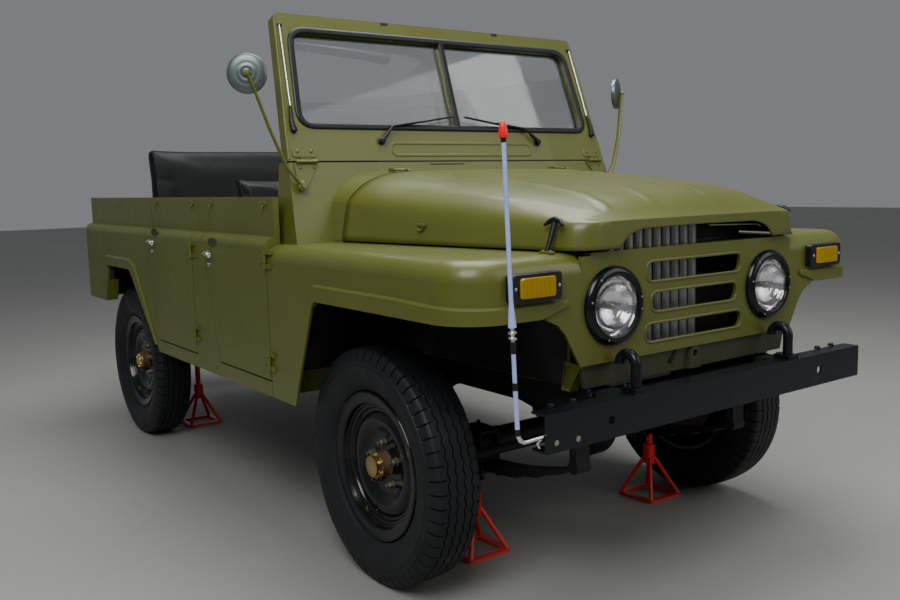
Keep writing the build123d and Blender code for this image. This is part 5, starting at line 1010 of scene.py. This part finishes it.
# Bumper: two flat bolt heads at its end, flush with the face, and the bolts of its mounts
bumper_bolts, mount_bolts = shapes(2)
for y, z, radius in mm((-674, 586, 7.5), (-599, 583, 8)):
    bumper_bolts.lathe(scaled(radius, (-2, 1), (0, 1), (0.2, 0.92)) + [(0.0002, TIP)], (1.93, y, z), FORWARD, 20)
bumper_bolts.piece("bumper_bolts", STEEL)
for side in SIDES:
    for dy in (-0.018, 0.018):
        mount_bolts.bolt((1.876, side * 0.35 + dy, 0.675), UPWARD, 0.006, 0.006)
    for y in (0.56, 0.64):
        mount_bolts.bolt((1.87, side * y, 0.663), UPWARD, 0.0085, 0.008)
    mount_bolts.bolt((1.824, side * 0.455, 0.655), FORWARD, 0.012, 0.015)
mount_bolts.piece("bumper_mount_bolts", BLACK)

# Olive corner stays that run down from the panel to the frame
STAY_FACES = [mm((1814, 473.5, 736), (1738, 445, 648), (1738, 415, 648), (1814, 445, 736)),
              mm((1812, 474, 736), (1737, 446, 648), (1708, 451, 650), (1724, 451, 736))]
stays = Shape()
for side in SIDES:
    for outline in STAY_FACES:
        face = on_side(side, outline)
        stays.rows([face, [p + Vector((-0.003, -side * 0.003, 0)) for p in face]], ring=True, caps=True)
stays.piece("front_corner_stays", OLIVE, sharp=30)

# Black coating inside the front and rear arches
FRONT_SECTION = mm((450, 664), (450, 1000), (456, 1018), (472, 1033), (760, 1033))
FRONT_WALL = mm((738, 410, 600), (738, 780, 600), (738, 780, 1030), (738, 410, 1030))
REAR_ARCH = mm((-644, 600), (-644, 862), (-654, 875.5), (-1488, 875.5), (-1496, 862), (-1496, 690))
REAR_EDGE = mm((-1201.8, 864), (-1278.8, 690))
liners = Shape()
for side in SIDES:
    liners.rows([on_side(side, [(x, y, z) for y, z in FRONT_SECTION]) for x in (0.745, 1.1, 1.5, 1.73)])
    liners.add(on_side(side, FRONT_WALL), [(0, 1, 2, 3)])
    liners.rows([on_side(side, [(x, y, z) for x, z in REAR_ARCH]) for y in (0.588, 0.81)])
    liners.add(on_side(side, [(x, 0.5875, z) for x, z in REAR_ARCH]), [tuple(range(len(REAR_ARCH)))])
    liners.rows([on_side(side, [(x, y, z) for x, z in REAR_EDGE]) for y in (0.811, 0.861)])
add_modifier(liners.piece("arch_liners", CHASSIS), "SOLIDIFY", thickness=0.0012, offset=0.0)

# Radiator: fins, tank and cap behind the shutters, the thin rod inside the cut-out and the shutters' rivets
FINS = 60
fins, tank, cut_out_rod, shutter_rivets = shapes(4)
for k in range(FINS):
    y = -0.29 + 0.58 * k / (FINS - 1)
    fins.box((1.7225, y - 0.0012, 0.73), (1.727, y + 0.0012, 1.04), 0.0004)
for z in (0.74, 0.84, 0.94, 1.03):
    fins.box((1.7225, -0.3, z - 0.002), (1.7255, 0.3, z + 0.002), 0.0005)
fins.piece("radiator_fins", CORE, sharp=30)
tank.box((1.668, -0.325, 1.05), (1.728, 0.325, 1.122), 0.01)
tank.lathe(mm((0, 30), (12, 30), (14, 26), (20, 24), (22, 0.1)), (1.7, 0, 1.122), UPWARD, 28)
tank.piece("radiator_tank", CHASSIS)
cut_out_rod.tube([(1.79, 0.09, 1.095), (1.79, 0.33, 1.088), (1.785, 0.352, 1.08)], 0.004, 10)
cut_out_rod.piece("cut_out_rod", STEEL)
for k in range(10):
    for z in (0.7, 1.1):
        shutter_rivets.screw((1.7515, -0.318 + 0.04 * k, z), FORWARD, 0.0035)
shutter_rivets.piece("shutter_rivets", STEEL)

# Seats: cushions blown up by cloth, on painted bases
PAD_FRAMES = 20
SEAT_Y = 0.465
# outlines in x and z
SEAT_CUSHION = mm((105, 782), (500, 790), (508, 870), (478, 884), (118, 864))
SEAT_BACK = mm((48, 890), (122, 906), (12, 1276), (-10, 1288), (-50, 1282))
BENCH_CUSHION = mm((-985, 802), (-520, 806), (-514, 906), (-545, 920), (-975, 897))
BENCH_BACK = mm((-1048, 905), (-972, 905), (-1040, 1440), (-1060, 1456), (-1100, 1452), (-1112, 1436))
# columns: name, middle y, half width, outline, voxel, most a point moves
PADS = []
for name, y in (("right", -SEAT_Y), ("left", SEAT_Y)):
    PADS.append((f"front_cushion_{name}", y, 0.215, SEAT_CUSHION, 0.01, 0.024))
    PADS.append((f"front_back_{name}", y, 0.208, SEAT_BACK, 0.01, 0.022))
PADS.append(("bench_cushion", 0.0, 0.56, BENCH_CUSHION, 0.014, 0.024))
PADS.append(("bench_back", 0.0, 0.686, BENCH_BACK, 0.015, 0.022))


def pad_block(name, middle, half, outline):
    """The plain rounded block that a cushion is blown up from."""
    mesh = bmesh.new()
    first, second = [[mesh.verts.new((x, middle + side * half, z)) for x, z in outline] for side in SIDES]
    mesh.faces.new(first)
    mesh.faces.new(list(reversed(second)))
    for k in range(len(outline)):
        m = (k + 1) % len(outline)
        mesh.faces.new((first[m], first[k], second[k], second[m]))
    upright = [e for e in mesh.edges if abs(e.verts[0].co.y - e.verts[1].co.y) > half]
    bmesh.ops.bevel(mesh, geom=upright, offset=0.016, segments=3, affect="EDGES", profile=0.5)
    bmesh.ops.recalc_face_normals(mesh, faces=mesh.faces[:])
    data = bpy.data.meshes.new(name)
    mesh.to_mesh(data)
    mesh.free()
    return placed(name, data)


def settled(obj):
    """The mesh of an object with its modifiers worked out."""
    return bpy.data.meshes.new_from_object(obj.evaluated_get(bpy.context.evaluated_depsgraph_get()))


pads = []
for name, middle, half, outline, voxel, most in PADS:
    pad = pad_block(name, middle, half, outline)
    remesh = add_modifier(pad, "REMESH", mode="VOXEL", voxel_size=voxel)
    pad.data = settled(pad)
    pad.modifiers.remove(remesh)
    start = [v.co.copy() for v in pad.data.vertices]
    cloth = pad.modifiers.new("cloth", "CLOTH")
    cloth.settings.quality = 4
    cloth.settings.use_pressure = True
    cloth.settings.uniform_pressure_force = 4.0
    cloth.settings.effector_weights.gravity = 0.0
    cloth.point_cache.frame_start = 1
    cloth.point_cache.frame_end = PAD_FRAMES
    pads.append((pad, cloth, start, most))
for frame_number in range(1, PAD_FRAMES + 1):
    bpy.context.scene.frame_set(frame_number)
for pad, cloth, start, most in pads:
    blown = settled(pad)
    for vertex, home in zip(blown.vertices, start):
        moved = vertex.co - home
        if moved.length > most:
            vertex.co = home + moved.normalized() * most
    pad.modifiers.remove(cloth)
    pad.data = blown
    blown.shade_smooth()
    blown.materials.clear()
    blown.materials.append(VINYL)
    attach(pad, "chassis")
    add_modifier(pad, "SUBSURF", levels=1, render_levels=1)
bpy.context.scene.frame_set(1)

SEAM_STEPS = 4
piping = Shape()
for (pad, *_), (_, middle, half, outline, *_) in zip(pads, PADS):
    eased = rounded(outline, 0.02, 5)
    centre = Vector((sum(x for x, _ in outline) / len(outline), middle, sum(z for _, z in outline) / len(outline)))
    for side in SIDES:
        loop = []
        for k, spot in enumerate(eased):
            ahead = eased[(k + 1) % len(eased)]
            for s in range(SEAM_STEPS):
                point = spot + (ahead - spot) * s / SEAM_STEPS
                target = Vector((point.x, middle + side * half, point.y))
                hit = pad.closest_point_on_mesh(target + (target - centre).normalized() * 0.03)
                loop.append(hit[1] - hit[2] * 0.0006)
        piping.tube(loop + loop[:1], 0.0038, 8, caps=False)
piping.piece("seat_piping", VINYL, sharp=60)

bases, bench_frame = shapes(2)
for side in SIDES:
    middle = side * SEAT_Y
    y0, y1 = middle - 0.205, middle + 0.205
    bases.box((0.11, y0, 0.585), (0.47, y1, 0.6), 0.003)
    bases.box((0.125, y0 + 0.012, 0.6), (0.455, y1 - 0.012, 0.758), 0.012)
    bases.box((0.095, y0 - 0.008, 0.756), (0.5, y1 + 0.008, 0.778), 0.006)
    for x in (0.18, 0.4):
        for way in SIDES:
            rib(bases, (x, middle + way * 0.193, 0.625), (x, middle + way * 0.193, 0.735), (0, way, 0), 0.01, 0.005)
    for y in (y0 + 0.012, y1 - 0.012):
        bases.tube([(0.13, y, 0.77), (0.072, y, 0.8), (0.044, y, 0.9), (-0.04, y, 1.19)], 0.011, 12)
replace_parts(bases.piece("seat_bases", CHASSIS), "front_seats")
bench_frame.box((-0.99, -0.555, 0.7845), (-0.525, 0.555, 0.804), 0.004)
for side in SIDES:
    for y in (0.64, 0.33):
        stand = [(-1.045, y, 0.895), (-1.08, y, 0.915), (-1.116, y, 1.2), (-1.118, y, 1.4)]
        bench_frame.tube(on_side(side, stand), 0.0105, 12)
bench_frame.tube([(-1.108, -0.64, 1.1), (-1.108, 0.64, 1.1)], 0.01, 12)
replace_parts(bench_frame.piece("bench_frame", CHASSIS), "rear_bench")

# Dashboard: instruments, switches, the passenger's rail and pressings
BOARD_X = 0.5984
# columns: y, z, radius
GAUGES = mm((330, 1220, 48), (470, 1220, 48), (240, 1225, 26), (240, 1160, 26), (560, 1225, 26), (560, 1160, 26))
PASSENGER_RAIL = mm(
    (598, -620, 1210), (560, -615, 1212), (552, -600, 1212), (552, -320, 1212), (560, -305, 1212), (598, -300, 1210))
dials, faces, needles, switches, board = shapes(5)
for y, z, radius in GAUGES:
    centre = Vector((BOARD_X, y, z))
    dials.lathe(scaled(radius, (0, 1), (7, 0.99), (9, 0.94), (8, 0.88), (3, 0.87)), centre, BACKWARD, 40)
    faces.lathe(scaled(radius, (3, 0.88), (3.5, 0.5)) + [(0.0036, TIP)], centre, BACKWARD, 40)
    needle = shifted(centre, (-0.005, 0, 0), (-0.0052, radius * 0.45, radius * 0.45))
    needles.tube(needle, [0.0016, 0.0005], 6)
    needles.lathe(mm((3, 4), (6, 3.6), (6.5, 0.1)), centre, BACKWARD, 14)
    for k in range(9):
        angle = radians(-40 + 32.5 * k)
        way = Vector((0, cos(angle), sin(angle))) * radius
        needles.tube([centre + Vector((-0.0042, 0, 0)) + way * share for share in (0.68, 0.8)], 0.0009, 4)
dials.piece("gauge_rims", CHROME)
faces.piece("gauge_faces", TRIM)
# The marks share the white plastic with its pale blue painted shade
needles.piece("gauge_marks", PALE)
for k in range(5):
    knob = mm((0, 11), (3, 10.5), (4, 5), (16, 4.5), (18, 9), (26, 9.5), (29, 7), (29.5, 0.1))
    switches.lathe(knob, (BOARD_X, 0.12 - 0.055 * k, 1.15), BACKWARD, 20)
switches.tube(PASSENGER_RAIL, 0.01, 14)
switches.piece("dash_switches", TRIM, sharp=50)
cord(board, upright_box(BOARD_X, (0.195, 1.12), (0.605, 1.285), 0.02), BACKWARD, 0.006, 0.003)
cord(board, upright_box(BOARD_X, (-0.66, 1.125), (-0.26, 1.18), 0.01), BACKWARD, 0.003, 0.002)
for y in (-0.735, -0.2, 0.16, 0.735):
    board.screw((BOARD_X, y, 1.3), BACKWARD, 0.0055)
board.piece("dash_pressings", OLIVE, sharp=50)

# Steering wheel's horn button and the rim's grips
STEER_CENTRE = Vector((0.33, 0.4, 1.13))
COLUMN_WAY = (STEER_CENTRE - Vector((0.7197, 0.4, 0.812))).normalized()
GRIPS = 48
horn, grips = shapes(2)
horn.lathe(mm((4, 30), (10, 30), (13, 27), (16, 18), (17.5, 0.1)), STEER_CENTRE, COLUMN_WAY, 32)
horn.piece("horn_button", CHROME, "steering_wheel", sharp=50)
steer_side, steer_up = cross_axes(COLUMN_WAY)
for k in range(GRIPS):
    angle = 2 * pi * k / GRIPS
    way = steer_side * cos(angle) + steer_up * sin(angle)
    grip = mm((-8, 11.2), (-4, 12.1), (4, 12.1), (8, 11.2))
    grips.lathe(grip, STEER_CENTRE + way * 0.2, way.cross(COLUMN_WAY), 12)
grips.piece("wheel_grips", TRIM, "steering_wheel", sharp=60)

# Pedals, gear levers, hand brake and the floor's pressed ribs
# columns: y, z of the pad's middle, half width, half height
PEDALS = mm((500, 705, 32, 30), (315, 705, 32, 30), (235, 690, 22, 50))
PEDAL_TILT = Matrix.Rotation(radians(-28), 3, "Y")
# columns: foot, knee and top of each lever, its knob's radius
LEVERS = [
    ((0.3, 0.02, 0.79), (0.285, 0.03, 0.93), (0.215, 0.045, 1.075), 0.023),
    ((0.2, 0.085, 0.79), (0.195, 0.09, 0.88), (0.17, 0.095, 0.965), 0.018),
    ((0.13, 0.06, 0.79), (0.125, 0.062, 0.87), (0.105, 0.065, 0.93), 0.018),
]
BOOT = mm((0, 46), (6, 45), (12, 34), (22, 30), (28, 22), (40, 19), (50, 12), (56, 7.5))
BRAKE_FOOT = Vector((0.16, -0.13, 0.79))
pedals, levers, knobs, ribs = shapes(4)
for y, z, wide, high in PEDALS:
    pedals.box((0.595, y - wide, z - high), (0.605, y + wide, z + high), 0.003, PEDAL_TILT)
    for k in range(-2, 3):
        middle = Vector((0.5935, y, z)) + PEDAL_TILT @ Vector((0, 0, k * high * 0.38))
        pedals.tube(shifted(middle, (0, -wide * 0.85, 0), (0, wide * 0.85, 0)), 0.0018, 6)
    pedals.tube([(0.605, y, z), (0.655, y, z + 0.045), (0.705, y, z + 0.13), (0.728, y, z + 0.2)],
                [0.006, 0.007, 0.008, 0.008], 10)
pedals.piece("pedals", TRIM)
for *points, radius in LEVERS:
    foot, knee, top = map(Vector, points)
    levers.tube([foot, knee, top], [0.008, 0.0065, 0.0055], 12)
    ball = [(radius * a, radius * r) for a, r in ((-0.8, 0.62), (-0.3, 0.97), (0.3, 0.97), (0.8, 0.6))]
    knobs.lathe([(-radius, 0.007)] + ball + [(radius, TIP)], top, (top - knee).normalized(), 24)
    knobs.lathe(BOOT, foot, (knee - foot).normalized(), 28)
levers.tube(shifted(BRAKE_FOOT, (0, 0, 0), (-0.08, 0, 0.06), (-0.23, 0, 0.15)), [0.01, 0.0085, 0.008], 12)
knobs.tube(shifted(BRAKE_FOOT, (-0.15, 0, 0.101), (-0.236, 0, 0.1535)), [0.0125, 0.0135], 16)
levers.piece("levers", STEEL, sharp=50)
knobs.piece("lever_knobs", TRIM, sharp=50)
for side in SIDES:
    for k in range(5):
        y = side * (0.26 + 0.1 * k)
        for x0, x1 in ((-0.56, -0.13), (0.53, 0.66)):
            rib(ribs, (x0, y, 0.5838), (x1, y, 0.5838), UPWARD, 0.012, 0.004)
for k in range(-4, 5):
    rib(ribs, (-1.53, 0.12 * k, 0.7838), (-1.14, 0.12 * k, 0.7838), UPWARD, 0.014, 0.005)
for side in SIDES:
    for x in (-1.4, -1.2, -0.8):
        rib(ribs, (x, side * 0.61, 0.8898), (x, side * 0.79, 0.8898), UPWARD, 0.012, 0.004)
ribs.piece("floor_ribs", OLIVE, sharp=50)

# Doors: inner panels' pressings, pull handles and latch levers
INNER_Y = 0.8128
HANDLE_Z = 0.988
# columns: place, where the handle's plate is measured from, the pressing's rear and front ends
for place, x0, low_x, x1 in (("front", 0.15, 0.19, 0.65), ("rear", -0.4, -0.3, -0.06)):
    for name, side in (("right", -1), ("left", 1)):
        inner = Shape()
        inward = (0, -side, 0)
        loop = on_side(side, [(x, INNER_Y, z) for x, z in box_outline((low_x, 0.64), (x1, 0.9), 0.04)])
        cord(inner, loop, inward, 0.008, 0.004)
        pull = ((x1 - 0.2, 0), (x1 - 0.2, 0.03), (x1 - 0.06, 0.03), (x1 - 0.06, 0))
        inner.tube(on_side(side, [(x, INNER_Y - deep, 1.09) for x, deep in pull]), 0.006, 10)
        plate_line = mm((0, 20), (4, 19), (6, 10), (18, 9), (19, 0.1))
        inner.lathe(plate_line, (x0 + 0.06, side * INNER_Y, HANDLE_Z), inward, 20)
        lever = [(x0 + 0.06, INNER_Y - 0.015, HANDLE_Z), (x0 + 0.15, INNER_Y - 0.018, 0.992)]
        inner.tube(on_side(side, lever), [0.0075, 0.005], 10)
        inner.piece(f"door_lining_{place}_{name}", OLIVE, f"{place}_{name}_door", sharp=50)

# Rear gate: pressed ribs, latch, hinge screws and the spare wheel's clamp
GATE_X = -1.5804
gate, latch, clamp = shapes(3)
for side in SIDES:
    cord(gate, on_side(side, upright_box(GATE_X, (0.15, 0.82), (0.56, 1.0), 0.03)), BACKWARD, 0.008, 0.0045)
rib(gate, (GATE_X, -0.6, 1.048), (GATE_X, 0.6, 1.048), BACKWARD, 0.009, 0.005)
for z in (0.83, 0.85, 1.0, 1.02):
    gate.screw((-1.5875, -0.61, z), BACKWARD, 0.0045)
gate.piece("gate_pressings", OLIVE, "rear_gate", sharp=50)
latch.box((-1.588, 0.56, 0.915), (-1.5805, 0.618, 0.985), 0.003)
latch.lathe(mm((0, 14), (10, 13), (12, 8), (24, 7.5), (25, 0.1)), (-1.588, 0.588, 0.95), BACKWARD, 24)
latch.tube([(-1.609, 0.588, 0.952), (-1.611, 0.56, 0.948), (-1.608, 0.5, 0.944)], [0.008, 0.007, 0.008], 12, flat=0.6)
latch.piece("gate_latch", CHROME, "rear_gate", sharp=50)
clamp.lathe(mm((0, 60), (4, 59.5), (7, 48), (12, 30), (14, 20), (14, 12.5)), (-1.8485, 0, 0.905), BACKWARD, 40)
clamp.bolt((-1.862, 0, 0.905), BACKWARD, 0.02, 0.016)
clamp.piece("spare_clamp", OLIVE, "rear_gate")

# Underneath: spring clamps' bolts, shock absorbers and exhaust
# columns: the run as x, y, z and radius, its number of sides, how flat it is; the pipe, silencer and tail pipe
EXHAUST = [
    (mm((940, -205, 560, 22), (860, -225, 500, 22), (600, -235, 470, 22), (80, -235, 455, 22)), 16, 1.0),
    (mm((80, -235, 455, 30), (60, -235, 455, 70), (-400, -235, 455, 70), (-420, -235, 455, 30)), 28, 0.75),
    (mm((-420, -235, 455, 20), (-760, -235, 480, 20), (-900, -235, 560, 20), (-1200, -235, 565, 20),
        (-1500, -260, 520, 20), (-1545, -270, 500, 20)), 16, 1.0),
]
under, shocks, exhaust = shapes(3)
# columns: axle's x, way that the shock absorber leans
for axle_x, lean in ((1.212, -1), (-1.088, 1)):
    for side in SIDES:
        for dx in (-0.055, 0.055):
            for dy in (-0.036, 0.036):
                x, y = axle_x + dx, side * 0.365 + dy
                under.tube([(x, y, 0.262), (x, y, 0.42)], 0.0055, 10)
                under.bolt((x, y, 0.272), (0, 0, -1), 0.0095, 0.009, washer=False)
        low = Vector((axle_x + lean * 0.075, side * 0.44, 0.33))
        high = Vector((axle_x + lean * 0.176, side * 0.425, 0.61))
        run = high - low
        shocks.tube([low, low + run * 0.52], 0.024, 20)
        shocks.tube([low + run * 0.5, low + run * 0.97], 0.029, 20)
        shocks.tube(shifted(low, (0, -side * 0.02, 0), (0, side * 0.02, 0)), 0.015, 16)
        shocks.tube(shifted(high, (0, -side * 0.022, 0), (0, side * 0.016, 0)), 0.015, 16)
under.piece("spring_bolts", CHASSIS)
shocks.piece("shock_absorbers", CHASSIS, sharp=50)
for run, sides, flat in EXHAUST:
    exhaust.tube([row[:3] for row in run], [row[3] for row in run], sides, flat=flat)
exhaust.piece("exhaust", RUST, sharp=50)

# Floor, light and camera
floor_mesh = bpy.data.meshes.new("floor")
floor_mesh.from_pydata([(-30, -30, 0), (30, -30, 0), (30, 30, 0), (-30, 30, 0)], [], [(0, 1, 2, 3)])
floor_mesh.materials.append(
    surface("pale_floor", (0.3, 0.3, 0.28), (0.27, 0.27, 0.255), 0.55, 0.05, patch=0.5, grain=60.0, relief=0.05))
placed("floor", floor_mesh)

world = bpy.data.worlds.new("studio")
world.use_nodes = True
background = world.node_tree.nodes["Background"]
background.inputs["Color"].default_value = (0.93, 0.95, 1.0, 1.0)
background.inputs["Strength"].default_value = 0.22
bpy.context.scene.world = world

# columns: name, place, aimed at, size, watts
SOFT_LIGHTS = [
    ("key", (3.6, -3.4, 4.6), (0.4, -0.2, 0.9), 3.0, 230.0),
    ("fill", (5.5, 3.0, 3.4), (0.8, 0.2, 0.8), 4.0, 90.0),
    ("top", (0.2, 0.6, 5.2), (0.6, 0.2, 0.8), 3.5, 260.0),
]
for name, place, aim, size, watts in SOFT_LIGHTS:
    data = bpy.data.lights.new(name, "AREA")
    data.size = size
    data.energy = watts
    lamp = placed(name, data)
    lamp.location = place
    lamp.rotation_euler = (Vector(aim) - Vector(place)).to_track_quat("-Z", "Y").to_euler()

CAMERA_PLACE = Vector((3.5696, -2.1855, 1.2386))
CAMERA_HEADING = radians(144.01)
CAMERA_PITCH = radians(-7.315)
CAMERA_ROLL = radians(-1.353)
look = Vector((cos(CAMERA_PITCH) * cos(CAMERA_HEADING), cos(CAMERA_PITCH) * sin(CAMERA_HEADING), sin(CAMERA_PITCH)))
level_right = look.cross(Vector(UPWARD)).normalized()
level_up = level_right.cross(look)
camera_right = cos(CAMERA_ROLL) * level_right + sin(CAMERA_ROLL) * level_up
camera_up = -sin(CAMERA_ROLL) * level_right + cos(CAMERA_ROLL) * level_up
camera_data = bpy.data.cameras.new("camera")
camera_data.lens = 36.36
camera_data.sensor_width = 36.0
camera = placed("camera", camera_data)
camera_turn = Matrix((camera_right, camera_up, -look)).transposed().to_4x4()
camera.matrix_world = Matrix.Translation(CAMERA_PLACE) @ camera_turn
bpy.context.scene.camera = camera
